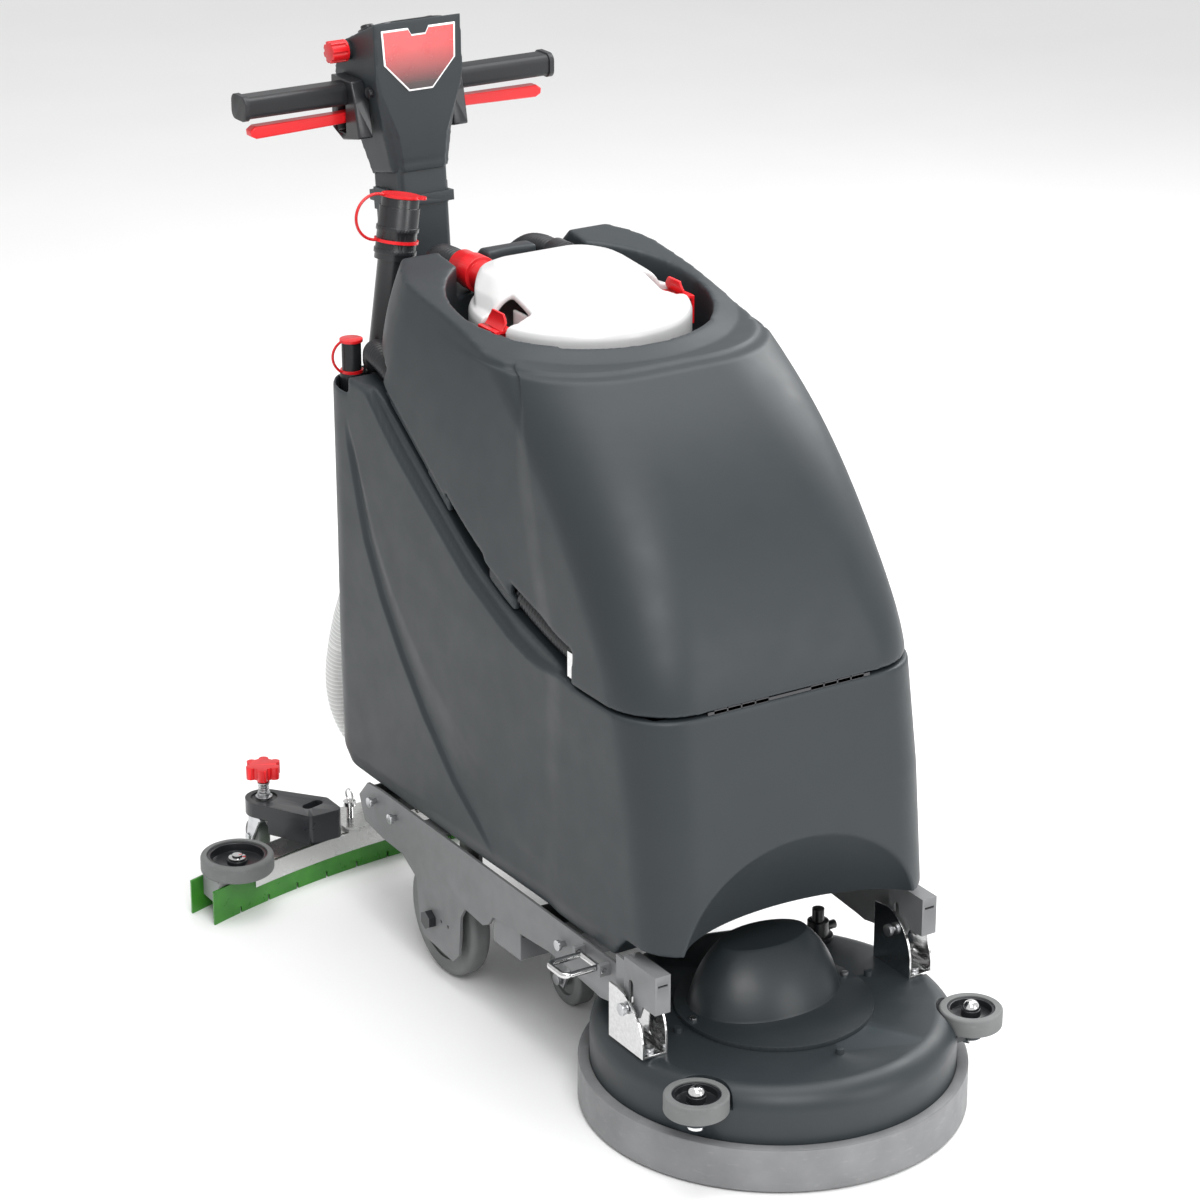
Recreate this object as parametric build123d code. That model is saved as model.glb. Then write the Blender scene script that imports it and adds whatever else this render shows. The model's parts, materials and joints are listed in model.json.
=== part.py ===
from build123d import *
import math
import os

os.makedirs("parts", exist_ok=True)

# Walk-behind battery floor scrubber.  Millimetres, +Z up, origin on the floor under the centre of
# the brush deck.  The machine's front is -Y, the operator stands behind it at +Y, and the machine
# is symmetric about X = 0 unless a comment says otherwise.  Its right-hand side is -X.

# ---- driving dimensions ----
SIDES = {"right": -1, "left": 1}

SKIRT_R = 245          # outer radius of the deck skirt ring
SKIRT_TOP = 60
SKIRT_BOTTOM = 3
DECK_R = 230           # outer radius of the moulded deck
DECK_TOP = 128
DECK_WALL = 5
COVER_R = 125          # round foot of the motor cover
COVER_SCREWS = [(-114, 9), (114, 8), (0, 112)]
BRACKET_BOLT_Y = (-24, 28)
BRUSH_R = 222
BUMPER_R = 40
BUMPER_X = 205
BUMPER_Y = -136
BUMPER_Z = (103, 127)
PIN_Y = 2              # deck pivot pins, in the brackets
PIN_Z = 182
PIN_R = 4.5
DECK_LIFT = 30         # how far the pedal raises the deck

TANK_WALL = 6
TANK_BOTTOM = 222
SEAM_Z = 555           # flat front part of the seam between the two tanks
SEAM_GAP = 3
REAR_RIM_Z = 797       # highest part of the lower tank's rim, at the rear
TANK_HINGE = (-21, SEAM_Z + 1.5)

LID_R = 142
LID_Y = 456
LID_TOP = 925
OPENING_R = 170
PORT_X = 66            # hose ports in the lid's rear
PORT_Z = 934
CLIP_PIVOT = (127, LID_TOP - 13)
CLIP_Y = (LID_Y - 38, LID_Y + 4)
LEVEL_TUBE = (-172, 752)

PLATE_X = 203          # outer face of the chassis side plates
PLATE_T = 4
WHEEL_R = 84
WHEEL_Y = 508
WHEEL_X = (158, 188)   # inner and outer face of a main wheel
AXLE_R = 8
CHASSIS_BOLTS = [(600, 196), (168, 194), (657, 198)]
RUN_FIT = 0.05         # radial clearance of a running fit

CASTOR_R = 40
CASTOR_X = 84
CASTOR_Y = 343
CASTOR_TRAIL = 26
CASTOR_HALF = 13

PEDAL_Z = 206
PEDAL_Y = (72, 112)
PEDAL_REACH = 266

COLUMN_LEAN = 5        # degrees, rearward
COLUMN_PIVOT = (835, 330)
COLUMN_HALF = 38
HEAD_PROFILE = [(866, 1206), (955, 1168), (982, 1120), (925, 986), (853, 1002)]
GRIP_Y = 928
GRIP_Z = 1104
GRIP_X = (74, 237)
HEAD_HALF = 66
COLUMN_LENGTH = 690
KEY_AT = (938, 1158)
BUTTON_X = (-46, 46)
TRIGGER_PIVOT = (77, 1072)

BLADE_ARC_R = 1160     # the squeegee's blades follow one large arc
BLADE_ARC_Y = -297     # centre of that arc
SQUEEGEE_HALF = 396
CHANNEL_Z = (29, 58)
SQ_ROLLER = (333, 824, 84.5)
SQ_ROLLER_R = 51
SQ_ARM_TOP = 101
SQ_KNOB = (232, 938)
SQ_TRAIL = 24
SQ_WHEEL_R = 23
SQ_WHEEL_Z = 33
PULL_X = 124
SWING_PIVOT = (0, 660)
LIFT_PIVOT = (700, 150)


# ---- hose routes: corner points, each hose's first and last run along its socket ----
LEDGE_Z = 797.5        # just above the lower tank's rear ledge
RECOVERY_HOSE = [(-PORT_X, 640, PORT_Z), (-PORT_X, 672, PORT_Z), (-PORT_X + 3, 702, 930),
                 (-PORT_X + 8, 728, 908), (-PORT_X + 12, 743, 876), (-PORT_X + 12, 748, 844),
                 (-PORT_X + 12, 748, 815)]
MOTOR_HOSE = [(PORT_X, 625, PORT_Z), (PORT_X, 657, PORT_Z), (PORT_X - 2, 690, 928),
              (PORT_X - 5, 720, 908), (PORT_X - 8, 738, 878), (PORT_X - 8, 748, 846), (PORT_X - 8, 748, 815)]
DRAIN_HOSE = [(-179, 168, 584), (-179, 226, 597), (-179, 286, 616), (-179, 346, 642), (-179, 406, 674),
              (-179, 466, 713), (-179, 524, 751), (-179, 576, 786), (-178, 624, 814), (-173, 668, 824),
              (-160, 706, 815), (-146, 734, 793)]
DRAIN_TUBE = ((-128, 753, 752), (-84, 768, 1000))
SQUEEGEE_HOSE = [(0, 926, 88), (0, 957, 88), (-26, 983, 107), (-52, 996, 140), (-72, 998, 186),
                 (-80, 990, 238), (-82, 973, 296), (-82, 948, 354), (-82, 916, 410), (-82, 878, 462),
                 (-82, 846, 504), (-82, 812, 504)]


# ---- helpers ----
def block(x, y, z):
    """Box from three (low, high) pairs."""
    centre = Pos(sum(x) / 2, sum(y) / 2, sum(z) / 2)
    return centre * Box(abs(x[1] - x[0]), abs(y[1] - y[0]), abs(z[1] - z[0]))


def rod(axis, centre, radius, length):
    """Cylinder centred on a point, along X, Y or Z."""
    turn = {"X": Rot(0, 90, 0), "Y": Rot(90, 0, 0), "Z": Rot(0, 0, 0)}[axis]
    return Pos(*centre) * turn * Cylinder(radius, length)


def bush(axis, centre, outer, inner, length):
    return rod(axis, centre, outer, length) - rod(axis, centre, inner, length + 2)


def bolt(axis, centre, radius, length, head_r, head_h, end):
    """Shank with a round head on the side that `end` (+1 or -1) points to."""
    step = {"X": (1, 0, 0), "Y": (0, 1, 0), "Z": (0, 0, 1)}[axis]
    shift = end * (length + head_h) / 2
    head = tuple(c + s * shift for c, s in zip(centre, step))
    return rod(axis, centre, radius, length) + rod(axis, head, head_r, head_h)


def side_shape(outline, x):
    """Prism from a (y, z) sketch or polygon between two x positions."""
    face = outline if isinstance(outline, Sketch) else make_face(Polyline(*outline, close=True))
    return Plane.YZ.offset(min(x)) * extrude(face, abs(x[1] - x[0]))


def round_box(x, y, z, radius):
    """Box whose upright edges are rounded."""
    solid = block(x, y, z)
    return fillet(solid.edges().filter_by(Axis.Z), radius)


def mirrored(shape):
    return mirror(shape, about=Plane.YZ)


def on_side(shape, side):
    """The part is drawn for the right-hand side (-X)."""
    return shape if SIDES[side] < 0 else mirrored(shape)


def save(name, *shapes):
    solids = []
    for shape in shapes:
        solids += shape.solids()
    result = solids[0] if len(solids) == 1 else Compound(children=solids)
    export_step(result, f"parts/{name}.step")


def loft_sections(sections, grow=0.0, ruled=False):
    """Solid through rounded rectangles: (z, half width, front y, rear y, corner radius)."""
    faces = []
    for z, half, front, rear, radius in sections:
        size = (2 * (half + grow), rear - front + 2 * grow)
        faces.append(Pos(0, (front + rear) / 2, z) * RectangleRounded(*size, radius + grow))
    return loft(faces, ruled=ruled)


# ---- chassis ----
def side_plate_outline():
    """Side plate in (y, z): long rail, rear lobe and the flange that carries the main wheel."""
    top = [(10, 250), (42, 219), (640, 219), (680, 216)]
    lobe = [(704, 190), (690, 156), (640, 149), (586, 148), (548, 128)]
    flange = [(540, 62), (528, 50), (452, 44), (436, 60), (430, 118)]
    arch = [(418, 136), (372, 132), (356, 140), (346, 155), (205, 166)]
    front = [(100, 158), (84, 156), (62, 160), (56, 172), (10, 190)]
    return [*top, *lobe, *flange, *arch, *front]


def side_plate(side):
    plate = side_shape(side_plate_outline(), (-PLATE_X, -PLATE_X + PLATE_T))
    plate -= rod("X", (-PLATE_X + 2, WHEEL_Y, WHEEL_R), AXLE_R + RUN_FIT, 20)
    for y in (482, 464):
        plate -= rod("X", (-PLATE_X + 2, y, 90), 2.5, 20)
    for y, z in CHASSIS_BOLTS:
        plate -= rod("X", (-PLATE_X, y, z), 4.02, 30)
    return on_side(plate, side)


def nose_box(side):
    """Bent box at the front end of a side plate; the deck pin slides in its upright slots."""
    outline = [(18, 174), (18, 244), (-52, 244), (-52, 193), (-24, 193), (-16, 174)]
    nose = side_shape(outline, (-210, -188)) - block((-207, -191), (-49, 30), (170, 241))
    nose -= block((-206, -192), (-60, -40), (229, 232))
    nose += block((-207.5, -PLATE_X), (12, 40), (196, 236))
    slot = SlotOverall(DECK_LIFT + 12, 10, rotation=90)
    slot = side_shape(Pos(PIN_Y, PIN_Z + DECK_LIFT / 2) * slot, (-230, -170))
    return on_side(nose - slot, side)


def with_bolt_holes(beam):
    for y, z in CHASSIS_BOLTS:
        beam -= rod("X", (0, y, z), 4.02, 500)
    return beam


def crossmember_front():
    beam = block((-199, 199), (150, 186), (176, 212)) - block((-195, 195), (154, 182), (170, 208))
    return with_bolt_holes(beam)


def crossmember_castors():
    """Channel that carries both castors."""
    y = CASTOR_Y - CASTOR_TRAIL
    channel = block((-199, 199), (y - 34, y + 34), (118, 150))
    channel -= block((-195, 195), (y - 30, y + 30), (122, 154))
    for x in (-199, 195):
        channel += block((x, x + 4), (y - 34, y + 34), (118, 205))
    for x in (-CASTOR_X, CASTOR_X):
        channel -= rod("Z", (x, y, 120), 6 + RUN_FIT, 12)
    return channel


def crossmember_rear():
    beam = block((-199, 199), (628, 690), (186, 205.8)) - block((-195, 195), (632, 686), (190, 215))
    beam -= rod("Z", (*SWING_PIVOT, 188), 9 + RUN_FIT, 12)
    return with_bolt_holes(beam)


def chassis_bolts():
    """Bolts at the rear lobes and the crossmember ends, on each side."""
    bolts = []
    for side in SIDES:
        for y, z in CHASSIS_BOLTS:
            bolts.append(on_side(bolt("X", (-PLATE_X + 0.3, y, z), 4, 16, 7, 4, -1), side))
    return bolts


def stub_axle(side):
    """Wheel axle: fixed in the side plate, with a black hexagon head outside."""
    x_in = -WHEEL_X[0] + 24
    axle = rod("X", ((-PLATE_X + x_in) / 2 - 2, WHEEL_Y, WHEEL_R), AXLE_R, PLATE_X + x_in + 4)
    head = extrude(RegularPolygon(13, 6), 5, both=True)
    head = Pos(-PLATE_X - 5.2, WHEEL_Y, WHEEL_R) * Rot(0, 90, 0) * head
    nut = rod("X", (x_in - 0.8, WHEEL_Y, WHEEL_R), 13, 6)
    return on_side(axle + head + nut, side)


def axle_bracket(side):
    """Angle that holds the inner end of a wheel axle under the tank."""
    x = -WHEEL_X[0] + 14
    hanger = block((x, x + 6), (WHEEL_Y - 26, WHEEL_Y + 26), (62, 217))
    hanger += block((-PLATE_X + PLATE_T, x), (WHEEL_Y - 26, WHEEL_Y + 26), (212, 217))
    hanger -= rod("X", (x + 3, WHEEL_Y, WHEEL_R), AXLE_R + RUN_FIT, 20)
    return on_side(hanger, side)


def wheel_tyre(side):
    middle = -sum(WHEEL_X) / 2
    width = WHEEL_X[1] - WHEEL_X[0]
    tyre = rod("X", (middle, WHEEL_Y, WHEEL_R), WHEEL_R, width)
    tyre = fillet(tyre.edges(), 9)
    tyre -= rod("X", (middle, WHEEL_Y, WHEEL_R), 60, width + 2)
    return on_side(tyre, side)


def wheel_hub(side):
    middle = -sum(WHEEL_X) / 2
    centre = (middle, WHEEL_Y, WHEEL_R)
    hub = rod("X", centre, 59.97, 26)
    hub -= bush("X", (middle - 11, WHEEL_Y, WHEEL_R), 52, 20, 14)
    hub -= bush("X", (middle + 11, WHEEL_Y, WHEEL_R), 52, 20, 14)
    hub += rod("X", centre, 19, 28)
    hub -= rod("X", centre, AXLE_R + RUN_FIT, 40)
    return on_side(hub, side)


# ---- castors ----
def castor_fork(side):
    """Swivel fork with its stem; the wheel trails behind the stem."""
    stem_y = CASTOR_Y - CASTOR_TRAIL
    top = round_box((-CASTOR_X - 24, -CASTOR_X + 24), (stem_y - 24, stem_y + 34), (96, 101), 8)
    stem = rod("Z", (-CASTOR_X, stem_y, 113), 6, 30)
    collar = rod("Z", (-CASTOR_X, stem_y, 109), 20, 16)
    arms = []
    for x in (-CASTOR_X - 21, -CASTOR_X + 17):
        outline = [(stem_y - 20, 98), (stem_y + 32, 98), (CASTOR_Y + 12, 34), (CASTOR_Y - 10, 30)]
        arms.append(side_shape(outline, (x, x + 4)))
    fork = top + stem + collar + arms[0] + arms[1]
    fork -= rod("X", (-CASTOR_X, CASTOR_Y, CASTOR_R), 5 + RUN_FIT, 60)
    return on_side(fork, side)


def castor_nut(side):
    return on_side(bush("Z", (-CASTOR_X, CASTOR_Y - CASTOR_TRAIL, 125.2), 11, 6, 6), side)


def castor_pin(side):
    return on_side(bolt("X", (-CASTOR_X, CASTOR_Y, CASTOR_R), 5, 44, 8, 4, -1), side)


def castor_wheel(side):
    centre = (-CASTOR_X, CASTOR_Y, CASTOR_R)
    wheel = fillet(rod("X", centre, CASTOR_R, 2 * CASTOR_HALF).edges(), 5)
    wheel -= bush("X", (-CASTOR_X - 12, CASTOR_Y, CASTOR_R), 25, 11, 8)
    wheel -= bush("X", (-CASTOR_X + 12, CASTOR_Y, CASTOR_R), 25, 11, 8)
    wheel += rod("X", centre, 10, 33)
    wheel -= rod("X", centre, 5 + RUN_FIT, 60)
    return on_side(wheel, side)


# ---- lift pedal ----
def lift_pedal():
    """Bent wire loop on the right-hand side plate, pressed down by foot."""
    y0, y1 = PEDAL_Y
    tip = -PEDAL_REACH + 4
    near, far = ((-213, y0, PEDAL_Z), (tip, y0, PEDAL_Z)), ((tip, y1, PEDAL_Z), (-213, y1, PEDAL_Z))
    path = FilletPolyline(*near, *far, radius=9)
    loop = sweep(Plane(origin=(-213, y0, PEDAL_Z), z_dir=(-1, 0, 0)) * Circle(4), path)
    return loop + rod("Y", (-213, (y0 + y1) / 2, PEDAL_Z), 4, y1 - y0 + 26)


def pedal_clips():
    clips = []
    for y in (PEDAL_Y[0] - 9, PEDAL_Y[1] + 9):
        clip = block((-218.5, -PLATE_X), (y - 3, y + 3), (PEDAL_Z - 8, PEDAL_Z + 8))
        clip -= rod("Y", (-213, y, PEDAL_Z), 4 + RUN_FIT, 12)
        clips.append(clip)
    return clips


# ---- brush deck ----
def deck_shell():
    """Round moulded cover over the brush, with two ears under the bumper rollers."""
    outer = Pos(0, 0, (52 + DECK_TOP) / 2) * Cylinder(DECK_R, DECK_TOP - 52)
    outer = fillet(outer.edges().group_by(Axis.Z)[-1], 30)
    inner = Cylinder(DECK_R - DECK_WALL, DECK_TOP - DECK_WALL - 50)
    inner = Pos(0, 0, (50 + DECK_TOP - DECK_WALL) / 2) * inner
    inner = fillet(inner.edges().group_by(Axis.Z)[-1], 26)
    shell = outer - inner
    for side in SIDES.values():
        shell += rod("Z", (side * BUMPER_X, BUMPER_Y, 94.5), 15, 15)
        shell += block((side * (BUMPER_X - 36), side * BUMPER_X), (BUMPER_Y - 8, BUMPER_Y + 22), (87, 102))
        recess = rod("Z", (side * BUMPER_X, BUMPER_Y, 125), BUMPER_R + 4, 45.4)
        pocket = rod("Z", (side * BUMPER_X, BUMPER_Y, 123), BUMPER_R + 8, 52)
        shell += (pocket & outer) - recess
        shell -= recess
        shell -= rod("Z", (side * BUMPER_X, BUMPER_Y, 95), 6 + RUN_FIT, 40)
    for x, y in ((-142, 1), (-4, -148), (145, 0)):
        shell += rod("Z", (x, y, DECK_TOP + 3), 5.5, 8)
    for x, y in COVER_SCREWS:
        shell -= rod("Z", (x, y, DECK_TOP), 2.52, 30)
    for x in (-200, 200):
        for y in BRACKET_BOLT_Y:
            shell -= rod("Z", (x, y, DECK_TOP), 3.22, 30)
    return shell - rod("Z", (0, 0, DECK_TOP), 62, 30)


def deck_skirt():
    middle = (SKIRT_TOP + SKIRT_BOTTOM) / 2
    ring = bush("Z", (0, 0, middle), SKIRT_R, DECK_R + 0.02, SKIRT_TOP - SKIRT_BOTTOM)
    return chamfer(ring.edges().group_by(Axis.Z)[-1], 1.5)


def cover_dome():
    """Raised hood of the motor cover: higher at the rear, cut by an arched facet at the front."""
    base = Pos(0, 22, DECK_TOP + 5) * Ellipse(104, 74)
    middle = Pos(4, 30, 178) * Ellipse(88, 56)
    top = Pos(8, 38, 206) * Ellipse(62, 34)
    return loft([base, middle, top])


def motor_cover():
    foot = rod("Z", (0, 0, DECK_TOP + 3.2), COVER_R, 6)
    hood = cover_dome()
    inner = Pos(0, 22, 0) * scale(Pos(0, -22, -DECK_TOP) * hood, by=0.95)
    cavity = Pos(0, 0, DECK_TOP) * inner
    cover = foot + hood
    cover -= cavity
    cover -= rod("Z", (0, 22, DECK_TOP), 66, 20)
    for x, y in COVER_SCREWS:
        cover -= rod("Z", (x, y, DECK_TOP), 2.52, 30)
    return cover


def cover_screws():
    return [bolt("Z", (x, y, DECK_TOP + 0.2), 2.5, 12, 5, 3, 1) for x, y in COVER_SCREWS]


def brush_motor():
    """Permanent-magnet motor standing on the deck, under the hood."""
    flange = rod("Z", (0, 0, DECK_TOP - DECK_WALL - 4), 90, 7.8)
    can = rod("Z", (0, 30, 156), 38, 54)
    gearcase = rod("Z", (0, 8, 127), 52, 12)
    motor = flange + gearcase + can
    motor -= rod("Z", (0, 0, 118), 8 + RUN_FIT, 40)
    return motor


def brush_drive():
    """Output shaft and the three-lug drive plate that turns the brush."""
    shaft = rod("Z", (0, 0, 112), 8, 50)
    plate = rod("Z", (0, 0, 84), 60, 6)
    for lug in range(3):
        angle = math.radians(120 * lug + 30)
        plate += rod("Z", (44 * math.cos(angle), 44 * math.sin(angle), 76), 7, 12)
    return shaft + plate


def brush_block():
    block_disc = bush("Z", (0, 0, 62), BRUSH_R - 4, 34, 18)
    for lug in range(3):
        angle = math.radians(120 * lug + 30)
        block_disc -= rod("Z", (44 * math.cos(angle), 44 * math.sin(angle), 74), 7.4, 20)
    return block_disc


def brush_bristles():
    """Rings of bristle tufts, each ring as one band."""
    rings = []
    for radius in (70, 104, 138, 172, 206):
        rings.append(bush("Z", (0, 0, 26), radius + 9, radius - 9, 52))
    return rings


def bumper_tyre(side):
    middle = sum(BUMPER_Z) / 2
    tyre = rod("Z", (-BUMPER_X, BUMPER_Y, middle), BUMPER_R, BUMPER_Z[1] - BUMPER_Z[0])
    tyre = fillet(tyre.edges(), 3)
    tyre -= rod("Z", (-BUMPER_X, BUMPER_Y, middle), 30, 40)
    return on_side(tyre, side)


def bumper_hub(side):
    low, high = BUMPER_Z
    hub = rod("Z", (-BUMPER_X, BUMPER_Y, (low + high) / 2), 29.97, high - low - 4)
    hub -= bush("Z", (-BUMPER_X, BUMPER_Y, high - 5), 26, 12, 12)
    hub -= rod("Z", (-BUMPER_X, BUMPER_Y, 115), 6 + RUN_FIT, 40)
    return on_side(hub, side)


def bumper_bolts():
    bolts = []
    for side in SIDES:
        pin = rod("Z", (-BUMPER_X, BUMPER_Y, 104), 6, 44)
        dome = Pos(-BUMPER_X, BUMPER_Y, 125.4) * Sphere(11)
        dome &= block((-240, -170), (-200, -100), (125.4, 140))
        nut = rod("Z", (-BUMPER_X, BUMPER_Y, 83.9), 11, 6)
        bolts.append(on_side(pin + dome + nut, side))
    return bolts


def deck_bracket(side):
    """Stainless U bracket on the deck; its side plates have a rounded top corner."""
    outer_edge = Polyline((-37, 140), (-37, 131), (40, 131), (40, 202), (24, 202))
    outer = make_face(outer_edge + ThreePointArc((24, 202), (-17, 184), (-37, 140)))
    inner_edge = Polyline((-37, 150), (-37, 131), (40, 131), (40, 206), (12, 210))
    inner = make_face(inner_edge + ThreePointArc((12, 210), (-22, 190), (-37, 150)))
    bracket = side_shape(outer, (-218, -215)) + side_shape(inner, (-185, -182))
    bracket += block((-218, -182), (-37, 40), (128.2, 131.2))
    bracket -= rod("X", (-200, PIN_Y, PIN_Z), PIN_R + RUN_FIT, 60)
    for y in BRACKET_BOLT_Y:
        bracket -= rod("Z", (-200, y, 130), 3.2, 10)
    return on_side(bracket, side)


def bracket_bolts():
    bolts = []
    for side in SIDES:
        for y in BRACKET_BOLT_Y:
            bolts.append(on_side(bolt("Z", (-200, y, 127), 3.2, 9, 6, 4, 1), side))
    return bolts


def deck_pins():
    """Pivot pins of the deck: they slide up the nose slots and turn in the brackets."""
    pins = []
    for side in SIDES:
        pin = rod("X", (-200, PIN_Y, PIN_Z), PIN_R, 42) + rod("X", (-223, PIN_Y, PIN_Z), 8, 5)
        pins.append(on_side(pin + rod("X", (-176.5, PIN_Y, PIN_Z), 8, 5), side))
    return pins


def water_gland():
    """Black fitting where the clean water enters the deck."""
    x, y = 150, 118
    gland = rod("Z", (x, y, DECK_TOP + 13), 14, 26) + rod("Z", (x, y, DECK_TOP + 3.2), 20, 6)
    gland += rod("X", (x + 16, y, DECK_TOP + 14), 6, 20)
    return gland + rod("Z", (x, y, DECK_TOP + 34), 8, 18)


# ---- lower tank ----
def rim_points(rise):
    """Points of the sweeping edge between the tanks, from the flat front part to the rear."""
    return [(110, SEAM_Z + rise), (190, 568 + rise), (290, 595 + rise), (390, 640 + rise),
            (490, 704 + rise), (580, 762 + rise), (640, REAR_RIM_Z - 4 + rise)]


def region_above(rise, rear_y, top=1300):
    """Everything above the edge between the tanks, as a prism across the machine."""
    points = rim_points(rise)
    curve = Spline(*points, tangents=[(1, 0), (1, 0.35)])
    last = points[-1]
    frame = Polyline(last, (rear_y, last[1] + 4), (rear_y, top), (-300, top), (-300, points[0][1]), points[0])
    return side_shape(make_face(curve + frame), (-300, 300))


LOWER_SECTIONS = [(TANK_BOTTOM, 197, -50, 770, 50), (250, 206, -63, 782, 60), (420, 209, -45, 785, 66),
                  (SEAM_Z, 212, -23, 786, 76), (820, 213, 14, 786, 76)]


def front_arch():
    """Arched hollow under the tank's nose, over the brush deck."""
    half = 165
    arch = make_face(Line((-half, 250), (half, 250)) + ThreePointArc((half, 250), (0, 392), (-half, 250)))
    face = Plane.XZ.offset(75) * arch
    slope = (0, 0.42, -0.9075)
    return extrude(face, 260, dir=slope) + extrude(face, 60, dir=tuple(-part for part in slope))


def hinge_room(sign):
    """Pockets behind the front wall for the tank hinge's knuckles and leaves."""
    y, z = TANK_HINGE
    groove = block((-112, 112), (y, -6), (z - 3.6 * (sign < 0), z + 3.6 * (sign > 0)))
    slot = block((-112, 112), (-12, -6), (z, z + sign * 30))
    return rod("X", (0, y, z), 4, 240) + groove + slot


def lift_room(grow):
    """Raised underside at the front, where the deck and its motor cover come up."""
    room = block((-120 - grow, 120 + grow), (-120, 112 + grow), (0, 256 + grow))
    underside = [(-200, 262), (22, 262), (64, 221), (64, 100), (-200, 100)]
    return room + side_shape([(y + grow, z + grow) for y, z in underside], (-300, 300))


def lower_tank():
    """Clean-water tub: walled body with the battery well in the middle."""
    outer = loft_sections(LOWER_SECTIONS, 0, True) - region_above(0, 900)
    inner = loft_sections(LOWER_SECTIONS, -TANK_WALL, True) - region_above(-TANK_WALL, 900)
    inner -= block((-300, 300), (-100, 900), (0, TANK_BOTTOM + TANK_WALL))
    arch = front_arch()
    tank = outer - (inner - Pos(0, 9, 7) * arch - lift_room(TANK_WALL)) - arch - lift_room(0) - hinge_room(-1)
    tank -= block((-180, 180), (2, 600), (500, 900))
    pocket = block((-209, -84), (690, 782), (745, 900)) & loft_sections(LOWER_SECTIONS, -4, True)
    pocket += block((-230, -84), (690, 800), (772, 900))
    lining = block((-212, -78), (684, 786), (739, 794)) & outer
    tank = tank - pocket + (lining - pocket)
    return tank


def battery_pack():
    case = round_box((-150, 150), (230, 570), (240, 470), 12)
    for x in (-110, 110):
        case += rod("Z", (x, 270, 478), 9, 18)
    return case


def battery_tray():
    tray = block((-156, 156), (224, 576), (233, 262)) - block((-152, 152), (228, 572), (239.8, 270))
    for x in (-120, 120):
        for y in (250, 550):
            tray += block((x - 12, x + 12), (y - 12, y + 12), (TANK_BOTTOM + TANK_WALL, 234))
    return tray


def vacuum_motor():
    motor = rod("Z", (0, 690, 640), 70, 70) + rod("Z", (0, 690, 694), 44, 40)
    return motor + rod("X", (86, 690, 620), 20, 50)


def motor_shelf():
    shelf = block((-130, 130), (612, 780), (598, 604.8))
    return shelf - rod("Z", (0, 690, 600), 50, 20)


# ---- upper tank ----
UPPER_SECTIONS = [(SEAM_Z + SEAM_GAP, 212, -23, 668, 84), (640, 210, 6, 690, 96), (720, 208, 52, 708, 112),
                  (800, 205, 112, 712, 126), (870, 200, 186, 712, 138), (925, 192, 252, 706, 146),
                  (990, 178, 300, 690, 150)]


def top_profile():
    """Side view of everything above the tank's top edge."""
    front = [(-300, 916), (286, 916), (370, 921), (440, 929), (520, 940), (590, 951), (640, 958)]
    edge = [*front, (662, 938), (698, 888), (716, 838), (800, 838)]
    return side_shape([*edge, (800, 1300), (-300, 1300)], (-300, 300))


def hose_groove(x, low, high, y_range):
    """Space along the edge between the tanks, between two heights above it."""
    band = region_above(low, 900) - region_above(high, 900)
    return band & block(x, y_range, (400, 1000))


def shell_groove(sign):
    """The hose groove with a wall round it."""
    groove = hose_groove((-230, -152), 0, 58, (128, 700))
    return groove if sign < 0 else mirrored(groove)


def clip_keepers():
    """Ribs in the tank's neck that the lid clips hook under."""
    keepers = []
    for sign in (-1, 1):
        y = (CLIP_Y[0] + 2, CLIP_Y[1] - 2)
        post = block((sign * 136.4, sign * 139.5), y, (LID_TOP - 72, LID_TOP - 36))
        keepers.append(post + block((sign * 136.4, sign * 143.6), y, (LID_TOP - 39, LID_TOP - 36)))
    return keepers


def upper_tank():
    """Recovery tank: round-nosed shell with the round opening for the separator lid."""
    outer = (loft_sections(UPPER_SECTIONS) & region_above(SEAM_GAP, 900)) - top_profile()
    floor = LID_TOP - 70
    well = rod("Z", (0, LID_Y, floor + 100), OPENING_R, 200)
    inner = loft_sections(UPPER_SECTIONS, -TANK_WALL) & region_above(SEAM_GAP + TANK_WALL, 900)
    inner -= Pos(0, 0, -TANK_WALL) * top_profile()
    inner -= rod("Z", (0, LID_Y, floor + 100 - TANK_WALL), OPENING_R + TANK_WALL, 200)
    inner -= block((-110, 110), (540, 800), (floor - 8, 1100)) + block((-230, -46), (640, 800), (890, 1100))
    inner -= block((-120, 120), (-30, 0), (540, 596)) + block((-206, -110), (634, 800), (780, 856))
    for sign in (-1, 1):
        inner -= block((sign * 152, sign * 230), (120, 170), (540, 625)) + shell_groove(sign)
    neck = rod("Z", (0, LID_Y, floor - 15), LID_R - 12, 60)
    tank = outer - inner - well - neck
    for keeper in clip_keepers():
        tank += keeper
    for sign in (-1, 1):
        groove = hose_groove((-199, -158), SEAM_GAP - 1, 52, (134, 700))
        window = hose_groove((-230, -158), SEAM_GAP - 1, 44, (138, 290))
        window += hose_groove((-230, -158), SEAM_GAP - 1, 34, (352, 448))
        cut = groove + window
        tank -= cut if sign < 0 else mirrored(cut)
    tank -= hinge_room(1) + block((-199, -116), (640, 760), (780, 850))
    for x in ((-100, -37), (37, 95)):
        tank -= block(x, (540, 760), (PORT_Z - 27, 1100))
    tank -= block((-40, 40), (540, 580), (floor, 1100)) + block((-40, 40), (540, 800), (952, 1100))
    return tank


def tank_hinge_pin():
    return rod("X", (0, *TANK_HINGE), 2, 236)


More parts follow.
